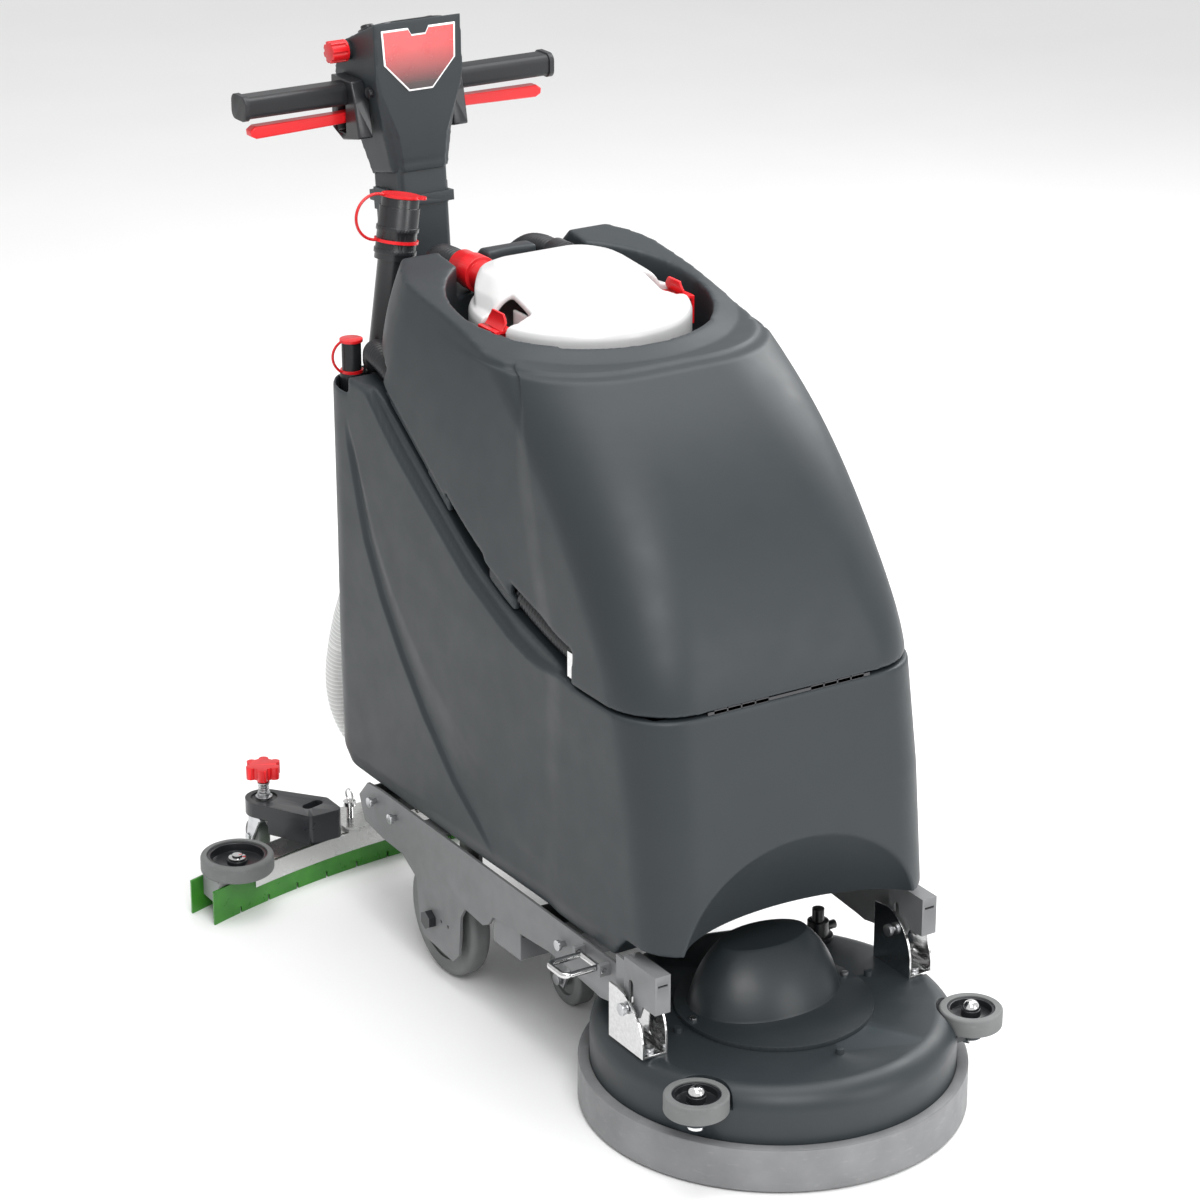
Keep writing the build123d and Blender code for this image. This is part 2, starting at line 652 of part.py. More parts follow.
def hinge_leaves(upper):
    """Knuckles of the tank hinge, on alternate places along the pin, each with its leaf."""
    sign = 1 if upper else -1
    leaves = []
    for x in (-100, -60, 60, 100) if upper else (-80, -40, 40, 80):
        knuckle = rod("X", (x, *TANK_HINGE), 3.4, 18)
        leaf = block((x - 9, x + 9), (-10, -7.5), (TANK_HINGE[1] + sign * 5, TANK_HINGE[1] + sign * 28))
        low = TANK_HINGE[1] + sign * 0.6
        web = block((x - 9, x + 9), (TANK_HINGE[0], -7.5), (low, low + sign * 2.4))
        riser = block((x - 9, x + 9), (-10, -7.5), (low, low + sign * 5.4))
        leaves.append(knuckle + web + riser + leaf - rod("X", (x, *TANK_HINGE), 2 + RUN_FIT, 20))
    return leaves


def locating_plate(side):
    """Small steel plate at the front end of each hose window."""
    plate = block((-206, -203.5), (142, 154), (562.5, 596))
    foot = block((-206, -184), (142, 154), (562.5, 565))
    return on_side(plate + foot, side)


# ---- separator lid and suction path ----
CROWN_SECTIONS = [(LID_TOP - 4, 128, LID_Y - 104, LID_Y + 132, 90),
                  (LID_TOP + 16, 116, LID_Y - 40, LID_Y + 128, 70),
                  (LID_TOP + 32, 96, LID_Y + 16, LID_Y + 118, 44),
                  (LID_TOP + 38, 78, LID_Y + 30, LID_Y + 108, 36)]


def clip_recesses():
    """Hand recess for each clip, with a flat where its hook hangs."""
    cuts = []
    for sign in (-1, 1):
        y = (CLIP_Y[0] - 3, CLIP_Y[1] + 3)
        cuts.append(block((sign * 96, sign * 150), y, (LID_TOP - 22, LID_TOP + 60)))
        cuts.append(block((sign * 136, sign * 150), y, (LID_TOP - 75, LID_TOP + 60)))
    return cuts


def separator_lid():
    """White domed lid: a turned shell with hand recesses and two hose ports."""
    base = LID_TOP - 68
    rim = [(LID_R - 34, base), (LID_R, base), (LID_R, LID_TOP - 10), (LID_R - 3, LID_TOP - 3)]
    rim += [(LID_R - 11, LID_TOP), (0, LID_TOP + 3)]
    section = [*rim, (0, LID_TOP - 6), (LID_R - 42, LID_TOP - 8), (LID_R - 34, LID_TOP - 16)]
    lid = Pos(0, LID_Y, 0) * revolve(Plane.XZ * make_face(Polyline(*section, close=True)), Axis.Z)
    within = rod("Z", (0, LID_Y, LID_TOP), LID_R - 8, 200)
    crown = loft_sections(CROWN_SECTIONS, 0, True) & within
    hollow = loft_sections(CROWN_SECTIONS, -6, True) & rod("Z", (0, LID_Y, LID_TOP), LID_R - 14, 200)
    lid = lid + crown - Pos(0, 0, -6) * hollow
    for cut in clip_recesses():
        lid -= cut
    for sign in (-1, 1):
        lid -= rod("Y", (sign * PORT_X, LID_Y + 110, PORT_Z), 19, 90)
    return lid


def clip_pivots():
    """Pins across each hand recess, on which the clips turn."""
    middle = sum(CLIP_Y) / 2
    return [rod("Y", (sign * CLIP_PIVOT[0], middle, CLIP_PIVOT[1]), 2.5, 47.6) for sign in (-1, 1)]


def lid_clip(side):
    """Over-centre clip: curved thumb scoop, knuckle and the hook that hangs outside the lid."""
    px, pz = CLIP_PIVOT
    y = CLIP_Y
    middle = sum(y) / 2
    clip = block((-px - 5, -px + 5), y, (pz - 4.5, pz + 5)) + block((-px - 21, -px), y, (pz + 1, pz + 5))
    clip += block((-px - 21, -px - 17), y, (pz - 32, pz + 5))
    clip += block((-px - 21, -px - 14), y, (pz - 32, pz - 28))
    scoop = bush("Y", (-px - 26, middle, pz + 20), 24, 21, y[1] - y[0])
    scoop &= block((-px - 19, -px), y, (pz + 2, pz + 27))
    outline = [(y[0], pz), (y[1], pz), (y[1] - 1, pz + 14), (y[1] - 8, pz + 24)]
    outline += [(y[0] + 8, pz + 24), (y[0] + 1, pz + 14)]
    clip += scoop & side_shape(outline, (-px - 30, -px + 5))
    clip -= rod("Y", (-px, middle, pz), 2.5 + RUN_FIT, 70)
    return on_side(clip, side)


def float_cage():
    """Float valve cage hanging under the lid."""
    z = LID_TOP - 115
    cage = bush("Z", (0, LID_Y, z), 42, 39, 78) + rod("Z", (0, LID_Y, z - 38), 42, 4)
    for step in range(6):
        cage -= Pos(0, LID_Y, z) * Rot(0, 0, 30 * step) * Box(100, 12, 56)
    return cage + bush("Z", (0, LID_Y, LID_TOP - 75), 60, 39, 4)


def float_ball():
    return Pos(0, LID_Y, LID_TOP - 129) * Sphere(20)


def suction_elbow():
    """Red cuff that plugs into the lid's right-hand port and carries the recovery hose."""
    cuff = rod("Y", (-PORT_X, 590, PORT_Z), 18.9, 68) + rod("Y", (-PORT_X, 603, PORT_Z), 24, 24)
    grip = rod("Y", (-PORT_X, 626, PORT_Z), 22, 28)
    return cuff + grip - rod("Y", (-PORT_X, 600, PORT_Z), 15, 120)


def motor_cuff():
    """Black cuff in the left-hand port, for the hose to the vacuum motor."""
    cuff = rod("Y", (PORT_X, 590, PORT_Z), 18.9, 68) + rod("Y", (PORT_X, 612, PORT_Z), 21, 26)
    return cuff - rod("Y", (PORT_X, 600, PORT_Z), 15, 120)


def hose(points, radius, name):
    """Round hose along straight runs joined by arcs as large as the runs allow."""
    corners = [Vector(*point) for point in points]
    runs = [b - a for a, b in zip(corners, corners[1:])]
    radii = []
    for before, after in zip(runs, runs[1:]):
        turn = math.radians(before.get_angle(after))
        radii.append(0.45 * min(before.length, after.length) / math.tan(turn / 2))
    path = FilletPolyline(*points, radius=radii)
    solid = sweep(Plane(origin=points[0], z_dir=runs[0]) * Circle(radius), path)
    length = sum(edge.length for edge in path.edges())
    error = solid.volume / (math.pi * radius**2 * length) - 1
    print(name, "length", round(length), "volume error", round(error, 4))
    print(name, "radii", [round(radius) for radius in radii])
    return solid


def hose_sockets():
    """Two sockets on the lower tank's rear ledge, where the lid's hoses end."""
    sockets = []
    for route in (RECOVERY_HOSE, MOTOR_HOSE):
        x, y, z = route[-1]
        sockets.append(bush("Z", (x, y, (z + LEDGE_Z) / 2), 23, 13, z - LEDGE_Z))
    return sockets


# ---- drain hose in the groove, its upright end and the level tube ----
def along(start, end):
    """Location at `start` whose Z axis points at `end`."""
    return Plane(origin=start, z_dir=Vector(*end) - Vector(*start)).location


def tube_section(low, high, radius):
    """Length of the upright drain tube, given in millimetres from its foot."""
    frame = along(*DRAIN_TUBE)
    return frame * Pos(0, 0, (low + high) / 2) * Cylinder(radius, high - low)


def drain_hose_end():
    """Cuff at the front of the groove, where the drain hose leaves the upper tank."""
    return bush("Y", (-179, 156, 584), 18.5, 13, 24)


def drain_tube():
    """Upright end of the drain hose: foot socket, smooth tube and a ribbed cuff."""
    tube = tube_section(0, 176, 22) + tube_section(168, 238, 27) + tube_section(238, 250, 25)
    tube += tube_section(176, 182, 28.5) + tube_section(206, 212, 28.5)
    foot = Pos(-134, 745, 772) * Sphere(19)
    return tube + foot - tube_section(14, 260, 19)


def tether(start, bulge, end, radius):
    """Curved rubber strap between a cap and its ring."""
    path = ThreePointArc(start, bulge, end)
    return sweep(Plane(origin=start, z_dir=path % 0) * Circle(radius), path)


def drain_cap():
    frame = along(*DRAIN_TUBE)
    cap = Pos(0, 0, 252.4) * Cylinder(26, 4) + Pos(0, 0, 246) * Cylinder(18.9, 12)
    cap = frame * (cap + Pos(22, -14, 252.4) * Cylinder(8, 4))
    ring = frame * (Pos(0, 0, 193) * Cylinder(29.6, 4) - Pos(0, 0, 193) * Cylinder(27, 6))
    top = (frame * Pos(-25, 0, 252.4)).position
    low = (frame * Pos(-30.5, 0, 193)).position
    bulge = (frame * Pos(-64, 0, 222)).position
    return cap + ring + tether(top, bulge, low, 2)


def level_tube():
    """Short capped outlet of the clean-water side, beside the drain tube."""
    x, y = LEVEL_TUBE
    return bush("Z", (x, y, 782), 13, 10, 74) + bush("Z", (x, y, 765), 16, 12.9, 24)


def level_cap():
    x, y = LEVEL_TUBE
    cap = rod("Z", (x, y, 821), 15.5, 3.6) + rod("Z", (x, y, 815), 9.9, 9)
    ring = bush("Z", (x, y, 779), 15.4, 13, 3.6)
    strap = tether((x - 14, y, 821), (x - 26, y + 4, 800), (x - 15.6, y, 779), 1.8)
    return cap + ring + strap


# ---- steering column and control head ----
def leaned(shape):
    """Put a shape drawn upright at the column's foot into its leaning place."""
    return Pos(0, *COLUMN_PIVOT) * Rot(-COLUMN_LEAN, 0, 0) * shape


def column_bracket(side):
    """Side plate of the column's foot, running back from the rear crossmember."""
    outline = [(632, 206), (800, 206), (868, 300), (868, 352), (802, 352), (800, 222), (776, 217), (632, 217)]
    plate = side_shape(outline, (-52, -46))
    plate -= rod("X", (-49, *COLUMN_PIVOT), 7 + RUN_FIT, 20)
    return on_side(plate, side)


def column_pin():
    pin = rod("X", (0, *COLUMN_PIVOT), 7, 116)
    for x in (-60, 60):
        pin += rod("X", (x, *COLUMN_PIVOT), 12, 6)
    return pin


def handle_column():
    body = round_box((-COLUMN_HALF, COLUMN_HALF), (-COLUMN_HALF, COLUMN_HALF), (-22, COLUMN_LENGTH), 9)
    bore = (-COLUMN_HALF + 5, COLUMN_HALF - 5)
    body -= round_box(bore, bore, (18, COLUMN_LENGTH + 1), 5)
    for x in (-41, 41):
        body += rod("X", (x, 0, 0), 18, 7)
    body -= rod("X", (0, 0, 0), 7 + RUN_FIT, 120)
    return leaned(body)


def hose_holder():
    """Band clipped round the column, with an open hook each side for the drain tube."""
    half = COLUMN_HALF
    band = block((-half - 4, half + 4), (-half - 4, half + 4), (626, 640))
    band -= block((-half - 0.01, half + 0.01), (-half - 0.01, half + 0.01), (620, 650))
    for x in (-half - 7, half + 7):
        band += block((x - 3.5, x + 3.5), (-14, 18), (618, 648))
    return leaned(band)


def front_outline(grow=0.0):
    """Front view of the control head in (x, z): wide at the top, narrow at the column."""
    top = HEAD_HALF + grow
    low = 46 + grow
    left = [(-top, 1240), (-top, 1128), (-low, 1018 - grow), (-low + 12, 950)]
    return [*left, (low - 12, 950), (low, 1018 - grow), (top, 1128), (top, 1240)]


def head_solid(inset=0.0):
    """The head's outer form, or its hollow when given an inset."""
    profile = make_face(Polyline(*HEAD_PROFILE, close=True))
    if inset:
        profile = offset(profile, amount=-inset)
    side_view = side_shape(Sketch() + profile, (-90, 90))
    front = make_face(Polyline(*front_outline(-inset), close=True))
    front_view = Plane.XZ.offset(-1100) * extrude(front, 400)
    return side_view & front_view


def head_housing():
    """Two-part moulded shell of the control head."""
    shell = head_solid() - head_solid(4)
    socket = (-COLUMN_HALF - 0.3, COLUMN_HALF + 0.3)
    shell -= leaned(block(socket, socket, (600, COLUMN_LENGTH + 0.5)))
    return shell


def front_badge():
    """Plain shield plate on the head's front face."""
    half = 56
    top, shoulder, low = 1196, 1150, 1112
    edge = Polyline((-half, top), (-16, top), (-11, top - 9), (11, top - 9), (16, top), (half, top),
                    (half - 2, shoulder), (18, low), (-18, low), (-half + 2, shoulder), close=True)
    plate = Plane.XZ.offset(-1000) * extrude(make_face(edge), 400)
    skin = Pos(0, -1.6, 0) * head_solid() - Pos(0, -0.15, 0) * head_solid()
    return plate & skin


def side_caps():
    return [rod("X", (side * 67, 880, 1112), 7, 6) & block((side * 60, side * 71), (860, 900), (1100, 1125))
            - head_solid() for side in SIDES.values()]


def panel_frame():
    """Location on the head's sloping top, with X to the left and Z out of the panel."""
    (y0, z0), (y1, z1) = HEAD_PROFILE[0], HEAD_PROFILE[1]
    middle = (0, (y0 + y1) / 2, (z0 + z1) / 2)
    return Plane(origin=middle, x_dir=(1, 0, 0), z_dir=(0, z0 - z1, y1 - y0)).location


def control_panel():
    """Black oval panel with a display window, flush on the head's top."""
    frame = panel_frame()
    plate = extrude(SlotOverall(122, 74), 3.6)
    plate -= Pos(0, -8, 3.6) * Box(40, 26, 2)
    for x in BUTTON_X:
        plate -= Pos(x, 8, 1) * Cylinder(9 + 0.3, 20)
    return frame * Pos(0, 0, 0.05) * plate


def display_window():
    return panel_frame() * Pos(0, -8, 3.1) * Box(39.8, 25.8, 0.9)


def panel_button(x):
    return panel_frame() * Pos(x, 8, 6.2) * fillet(Cylinder(9, 7).edges().group_by(Axis.Z)[-1], 2)


def red_key():
    """Red safety key on the right-hand flank of the head."""
    y, z = KEY_AT
    key = rod("X", (-HEAD_HALF - 17.4, y, z), 15, 24)
    for step in range(8):
        angle = math.radians(45 * step)
        key -= rod("X", (-HEAD_HALF - 20, y + 15 * math.cos(angle), z + 15 * math.sin(angle)), 2.6, 24)
    return key + rod("X", (-HEAD_HALF - 4, y, z), 9, 8)


def key_barrel():
    y, z = KEY_AT
    return bush("X", (-HEAD_HALF - 2.6, y, z), 13, 9 + RUN_FIT, 5)


def grip_bracket(side):
    """Black shoulder that joins a grip to the head's flank."""
    outline = [(900, 1124), (956, 1124), (956, 1052), (926, 1040), (880, 1050), (890, 1096)]
    shoulder = side_shape(outline, (-GRIP_X[0] - 10, -62)) - head_solid()
    shoulder -= block((-GRIP_X[0] - 12, -66.4), (GRIP_Y - 11, GRIP_Y + 11), (1050, 1089))
    return on_side(shoulder, side)


def grip(side):
    """Rounded-rectangular hand grip with a flared end."""
    length = GRIP_X[1] - GRIP_X[0] - 10.2
    bar = extrude(RectangleRounded(30, 36, 9), length)
    start = Pos(-GRIP_X[0] - 10.2, GRIP_Y, GRIP_Z) * Rot(0, -90, 0)
    flare = extrude(RectangleRounded(34, 42, 11), 7)
    return on_side(start * (bar + Pos(0, 0, length - 7) * flare), side)


def trigger(side):
    """Red lever under a grip, squeezed up against it."""
    px, pz = TRIGGER_PIVOT
    outline = [(-px + 9, pz - 7), (-px + 9, pz + 7), (-px - 12, pz + 6), (-217, pz + 5), (-224, pz),
               (-223, pz - 8), (-215, pz - 12), (-px - 18, pz - 9)]
    face = make_face(Polyline(*outline, close=True))
    lever = Plane.XZ.offset(-GRIP_Y - 8) * extrude(face, 16)
    lever -= rod("Y", (-px, GRIP_Y, pz), 4 + RUN_FIT, 40)
    return on_side(lever, side)


def trigger_pins():
    px, pz = TRIGGER_PIVOT
    return [rod("Y", (sign * px, GRIP_Y, pz), 4, 21.9) for sign in (-1, 1)]


# ---- squeegee ----
def arc_band(r_in, r_out, z, half):
    """Length of a ring about the blades' arc centre, between two heights."""
    middle = sum(z) / 2
    ring = Pos(0, BLADE_ARC_Y, middle) * (Cylinder(r_out, z[1] - z[0]) - Cylinder(r_in, z[1] - z[0] + 2))
    return ring & block((-half, half), (650, 960), (z[0] - 1, z[1] + 1))


def squeegee_channel():
    """Stainless channel, open underneath, with a blade clamped on each long face."""
    low, high = CHANNEL_Z
    outer = arc_band(BLADE_ARC_R, BLADE_ARC_R + 46, CHANNEL_Z, 322)
    channel = outer - arc_band(BLADE_ARC_R + 3, BLADE_ARC_R + 43, (low - 1, high - 3), 318)
    return channel - rod("Z", (0, 886, high), 19, 12)


def front_blade():
    blade = arc_band(BLADE_ARC_R - 3.3, BLADE_ARC_R - 0.1, (0, 50), 386)
    for step in range(-7, 8):
        angle = math.radians(90 + 2.6 * (step + 0.5))
        x, y = (BLADE_ARC_R * math.cos(angle), BLADE_ARC_Y + BLADE_ARC_R * math.sin(angle))
        blade -= block((x - 1.6, x + 1.6), (y - 12, y + 12), (-1, 9))
    return blade


def rear_blade():
    return arc_band(BLADE_ARC_R + 46.1, BLADE_ARC_R + 49.3, (0, 50), SQUEEGEE_HALF)


def blade_strip():
    """Stainless strip that clamps the front blade, riveted along the channel."""
    return arc_band(BLADE_ARC_R - 5.4, BLADE_ARC_R - 3.4, CHANNEL_Z, 310)


def squeegee_end(side):
    """Grey end block that closes the channel and carries the end roller."""
    x, y, top = SQ_ROLLER
    body = arc_band(BLADE_ARC_R + 0.1, BLADE_ARC_R + 46, (22, CHANNEL_Z[1]), 374)
    body &= block((-374, -322.1), (600, 1000), (0, 100))
    pad = rod("Z", (-x, y + 10, 40), 24, 36) & block((-374, -322.1), (700, y + 40), (22, 58))
    body += pad - arc_band(BLADE_ARC_R - 3.4, BLADE_ARC_R + 0.05, (0, 60), 400)
    body += rod("Z", (-x, y, top - 17.5), 9, 20)
    return on_side(body.solids().sort_by(SortBy.VOLUME)[-1], side)


def squeegee_roller_tyre(side):
    x, y, top = SQ_ROLLER
    tyre = rod("Z", (-x, y, top - 12.5), SQ_ROLLER_R, 25)
    tyre = fillet(tyre.edges(), 5)
    return on_side(tyre - rod("Z", (-x, y, top - 12), 42, 40), side)


def squeegee_roller_hub(side):
    """Dished hub whose centre boss sits below its rim."""
    x, y, top = SQ_ROLLER
    hub = rod("Z", (-x, y, top - 12.5), 41.97, 20)
    hub -= rod("Z", (-x, y, top), 37, 17) + bush("Z", (-x, y, top - 8), 37, 14, 13)
    return on_side(hub - rod("Z", (-x, y, top), 9 + RUN_FIT, 80), side)


def roller_screws():
    """Screw and washer on top of each end roller's post."""
    x, y, top = SQ_ROLLER
    screws = []
    for side in SIDES:
        screw = rod("Z", (-x, y, top - 6.5), 12, 2) + rod("Z", (-x, y, top - 4), 7, 4)
        screws.append(on_side(screw, side))
    return screws


def squeegee_support(side):
    """Black arm on the channel that holds the height screw and the small wheel."""
    kx, ky = SQ_KNOB
    ends = [Pos(-kx, ky) * Circle(27), Pos(-184, 868) * RectangleRounded(54, 50, 8)]
    outline = make_hull([edge for end in ends for edge in end.edges()])
    arm = Pos(0, 0, CHANNEL_Z[1] + 0.05) * extrude(outline, SQ_ARM_TOP - CHANNEL_Z[1])
    arm -= block((-300, -100), (905, 990), (40, 79))
    arm -= rod("Z", (-kx, ky, 90), 9 + RUN_FIT, 40)
    arm -= Pos(-kx, ky, SQ_ARM_TOP) * Cylinder(19, 6)
    arm -= Pos(-186, 878, SQ_ARM_TOP) * Rot(0, 0, 15) * extrude(SlotOverall(34, 16), 12, both=True)
    return on_side(arm, side)


def support_castor(side):
    """Fork and threaded stem of the small rear wheel."""
    kx, ky = SQ_KNOB
    stem = rod("Z", (-kx, ky, 84), 9, 20)
    plate = block((-kx - 15, -kx + 15), (ky - 15, ky + 22), (70, 74))
    fork = stem + plate
    for x in (-kx - 15, -kx + 12):
        outline = [(ky - 12, 72), (ky + 20, 72), (ky + 31, 28), (ky + 18, 26)]
        fork += side_shape(outline, (x, x + 3))
    return on_side(fork - rod("X", (-kx, ky + SQ_TRAIL, SQ_WHEEL_Z), 3 + RUN_FIT, 60), side)


def support_wheel_pin(side):
    kx, ky = SQ_KNOB
    return on_side(bolt("X", (-kx, ky + SQ_TRAIL, SQ_WHEEL_Z), 3, 31, 5, 2, -1), side)


def support_wheel(side):
    kx, ky = SQ_KNOB
    centre = (-kx, ky + SQ_TRAIL, SQ_WHEEL_Z)
    wheel = fillet(rod("X", centre, SQ_WHEEL_R, 18).edges(), 3) + rod("X", centre, 7, 22)
    return on_side(wheel - rod("X", centre, 3 + RUN_FIT, 40), side)


def star_knob(side):
    """Six-lobed red knob on its screw, with the washer and lock nut."""
    kx, ky = SQ_KNOB
    knob = rod("Z", (-kx, ky, 143), 19, 18)
    for lobe in range(6):
        angle = math.radians(60 * lobe)
        knob += rod("Z", (-kx + 19 * math.cos(angle), ky + 19 * math.sin(angle), 143), 7, 18)
    knob = knob + rod("Z", (-kx, ky, 131), 9, 10)
    return on_side(knob, side)


def height_screw(side):
    kx, ky = SQ_KNOB
    screw = rod("Z", (-kx, ky, 113), 5, 26)
    screw += rod("Z", (-kx, ky, 102.3), 12, 2) + rod("Z", (-kx, ky, 106), 9, 5)
    screw += rod("Z", (-kx, ky, 123.4), 9, 2)
    return on_side(screw, side)


def screw_spring(side):
    """Compression spring round the height screw."""
    kx, ky = SQ_KNOB
    helix = Helix(pitch=3.4, height=11.5, radius=7)
    start = helix @ 0
    coil = sweep(Plane(origin=start, z_dir=helix % 0) * Circle(0.8), helix, is_frenet=True)
    return on_side(Pos(-kx, ky, 109.6) * coil, side)


def squeegee_mount():
    """Stainless plate on the channel, with lugs for the lift arms and the pull pins' holes."""
    plate = block((-146, 146), (846, 922), (CHANNEL_Z[1] + 0.05, 63)) - rod("Z", (0, 886, 60), 24, 20)
    for x in (-PULL_X, PULL_X):
        plate -= rod("Z", (x, 884, 60), 5 + RUN_FIT, 20)
    return plate


def pull_pin(side):
    """Ring-pull pin that locks the squeegee to its mounting plate."""
    pin = rod("Z", (-PULL_X, 884, 73), 5, 22) + rod("Z", (-PULL_X, 884, 86), 9, 6)
    ring = Pos(-PULL_X, 884, 98) * Rot(0, 90, 0) * Torus(9.5, 1.3)
    return on_side(pin + ring, side)


def suction_spigot():
    """Elbow that leads from the channel to the squeegee hose."""
    foot = rod("Z", (0, 886, 81), 18.5, 51) + rod("Z", (0, 886, 61), 23.5, 5)
    branch = rod("Y", (0, 905, 88), 17, 38)
    return foot + branch - rod("Z", (0, 886, 75), 13, 56) - rod("Y", (0, 906, 88), 12.9, 42)


def rear_spigot():
    x, y, z = SQUEEGEE_HOSE[-1]
    return rod("Y", (x, 799, z), 17, 24) + rod("Y", (x, 789.2, z), 26, 5)


def swing_bracket():
    """Plate under the rear crossmember that lets the squeegee swing, with the lift hinge's ears."""
    plate = block((-40, 40), (632, 716), (179, 185.7)) + rod("Z", (*SWING_PIVOT, 192), 9, 16)
    plate += rod("Z", (*SWING_PIVOT, 201), 15, 5)
    for x in (-40, 34):
        plate += side_shape([(684, 180), (716, 180), (712, 140), (690, 140)], (x, x + 6))
    return plate - rod("X", (0, *LIFT_PIVOT), 6 + RUN_FIT, 120)


def lift_pin():
    pin = rod("X", (0, *LIFT_PIVOT), 6, 92)
    return pin + rod("X", (-48, *LIFT_PIVOT), 9, 4) + rod("X", (48, *LIFT_PIVOT), 9, 4)


def lift_arms():
    """Cranked arms from the lift hinge down to the squeegee's mounting plate."""
    outline = [(690, 140), (692, 160), (710, 160), (790, 112), (896, 78), (896, 63.1), (862, 63.1), (780, 92)]
    arms = side_shape(outline, (-32, -26)) + side_shape(outline, (26, 32))
    arms += rod("X", (0, 780, 104), 5, 60)
    return arms - rod("X", (0, *LIFT_PIVOT), 6 + RUN_FIT, 120)


def both(*makers):
    return [maker(side) for side in SIDES for maker in makers]


def save_chassis():
    save("chassis_side_plates", *both(side_plate, nose_box))
    save("crossmembers", crossmember_front(), crossmember_castors(), crossmember_rear())
    save("chassis_brackets", *both(axle_bracket, column_bracket), *pedal_clips(), column_pin())
    save("wheel_axles", *both(stub_axle), *chassis_bolts())
    save("lift_pedal", lift_pedal())
    for side in SIDES:
        save(f"main_wheel_{side}", wheel_tyre(side), wheel_hub(side))
        save(f"castor_fork_{side}", castor_fork(side), castor_nut(side), castor_pin(side))
        save(f"castor_wheel_{side}", castor_wheel(side))


def save_deck():
    save("deck_shell", deck_shell())
    save("deck_skirt", deck_skirt())
    save("motor_cover", motor_cover())
    save("brush_motor", brush_motor())
    save("brush_drive", brush_drive())
    save("brush", brush_block(), *brush_bristles())
    save("deck_fasteners", *bumper_bolts(), *cover_screws(), *bracket_bolts(), water_gland())
    save("deck_brackets", *both(deck_bracket))
    save("deck_pins", *deck_pins())
    for side in SIDES:
        save(f"bumper_roller_{side}", bumper_tyre(side), bumper_hub(side))


def save_tanks():
    save("lower_tank", lower_tank())
    save("battery_pack", battery_pack(), battery_tray())
    save("vacuum_motor", vacuum_motor(), motor_shelf())
    save("upper_tank", upper_tank())
    save("tank_hinge_lower", tank_hinge_pin(), *hinge_leaves(False), *both(locating_plate))
    save("tank_hinge_upper", *hinge_leaves(True))
    save("separator_lid", separator_lid(), *clip_pivots(), float_cage(), float_ball())
    for side in SIDES:
        save(f"lid_clip_{side}", lid_clip(side))


def save_hoses():
    save("hose_cuffs", suction_elbow(), motor_cuff())
    save("recovery_hose", hose(RECOVERY_HOSE, 18, "recovery_hose"))
    save("motor_hose", hose(MOTOR_HOSE, 17, "motor_hose"))
    save("hose_sockets", *hose_sockets(), rear_spigot())
    save("drain_hose", hose(DRAIN_HOSE, 17, "drain_hose"), drain_hose_end(), drain_tube(), level_tube())
    save("outlet_caps", drain_cap(), level_cap())
    save("squeegee_hose", hose(SQUEEGEE_HOSE, 21, "squeegee_hose"))


def save_handle():
    save("handle_column", handle_column(), hose_holder())
    save("head_housing", head_housing(), *side_caps(), key_barrel())
    save("front_badge", front_badge())
    save("control_panel", control_panel(), display_window())
    save("hand_grips", *both(grip, grip_bracket), *trigger_pins())
    save("red_key", red_key())
    for side in SIDES:
        save(f"trigger_{side}", trigger(side))
        save(f"panel_button_{side}", panel_button(BUTTON_X[max(SIDES[side], 0)]))


def save_squeegee():
    save("swing_bracket", swing_bracket(), lift_pin())
    save("squeegee_channel", squeegee_channel(), blade_strip(), squeegee_mount(), lift_arms(), suction_spigot())
    save("squeegee_blades", front_blade(), rear_blade())
    save("squeegee_supports", *both(squeegee_support, squeegee_end, pull_pin), *roller_screws())
    for side in SIDES:
        save(f"squeegee_roller_{side}", squeegee_roller_tyre(side), squeegee_roller_hub(side))
        save(f"support_castor_{side}", support_castor(side), support_wheel_pin(side))
        save(f"support_wheel_{side}", support_wheel(side))
        save(f"star_knob_{side}", star_knob(side), height_screw(side), screw_spring(side))


save_chassis()
save_deck()
save_tanks()
save_hoses()
save_handle()
save_squeegee()
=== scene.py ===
import json
import math

import bmesh
import bpy
import numpy as np
from mathutils import Matrix, Vector


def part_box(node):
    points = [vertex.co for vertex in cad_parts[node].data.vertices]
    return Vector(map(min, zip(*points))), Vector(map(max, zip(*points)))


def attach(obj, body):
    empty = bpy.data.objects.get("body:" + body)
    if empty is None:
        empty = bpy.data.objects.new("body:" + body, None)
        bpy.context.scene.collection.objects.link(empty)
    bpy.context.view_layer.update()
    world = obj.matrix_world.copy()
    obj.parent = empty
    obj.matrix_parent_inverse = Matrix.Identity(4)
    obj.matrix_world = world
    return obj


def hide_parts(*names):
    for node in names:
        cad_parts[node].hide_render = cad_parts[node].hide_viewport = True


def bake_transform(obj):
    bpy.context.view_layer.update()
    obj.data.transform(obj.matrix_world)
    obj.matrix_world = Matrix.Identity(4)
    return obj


# Looks of the walk-behind floor scrubber, in metres, in the CAD model's frame: the machine's front is
# -Y, +Z is up, and its right-hand side is -X.
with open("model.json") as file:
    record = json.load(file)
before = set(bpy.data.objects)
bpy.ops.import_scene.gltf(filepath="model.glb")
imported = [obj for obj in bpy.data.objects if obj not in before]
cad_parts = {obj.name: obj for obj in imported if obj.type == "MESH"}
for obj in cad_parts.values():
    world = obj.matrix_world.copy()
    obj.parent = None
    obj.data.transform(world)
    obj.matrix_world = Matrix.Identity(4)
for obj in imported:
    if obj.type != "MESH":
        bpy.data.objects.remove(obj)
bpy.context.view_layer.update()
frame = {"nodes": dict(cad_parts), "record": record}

MM = 0.001
VOXEL = 0.0032         # cell of the moulded tanks' remesh
TANK_SMOOTHING = 8
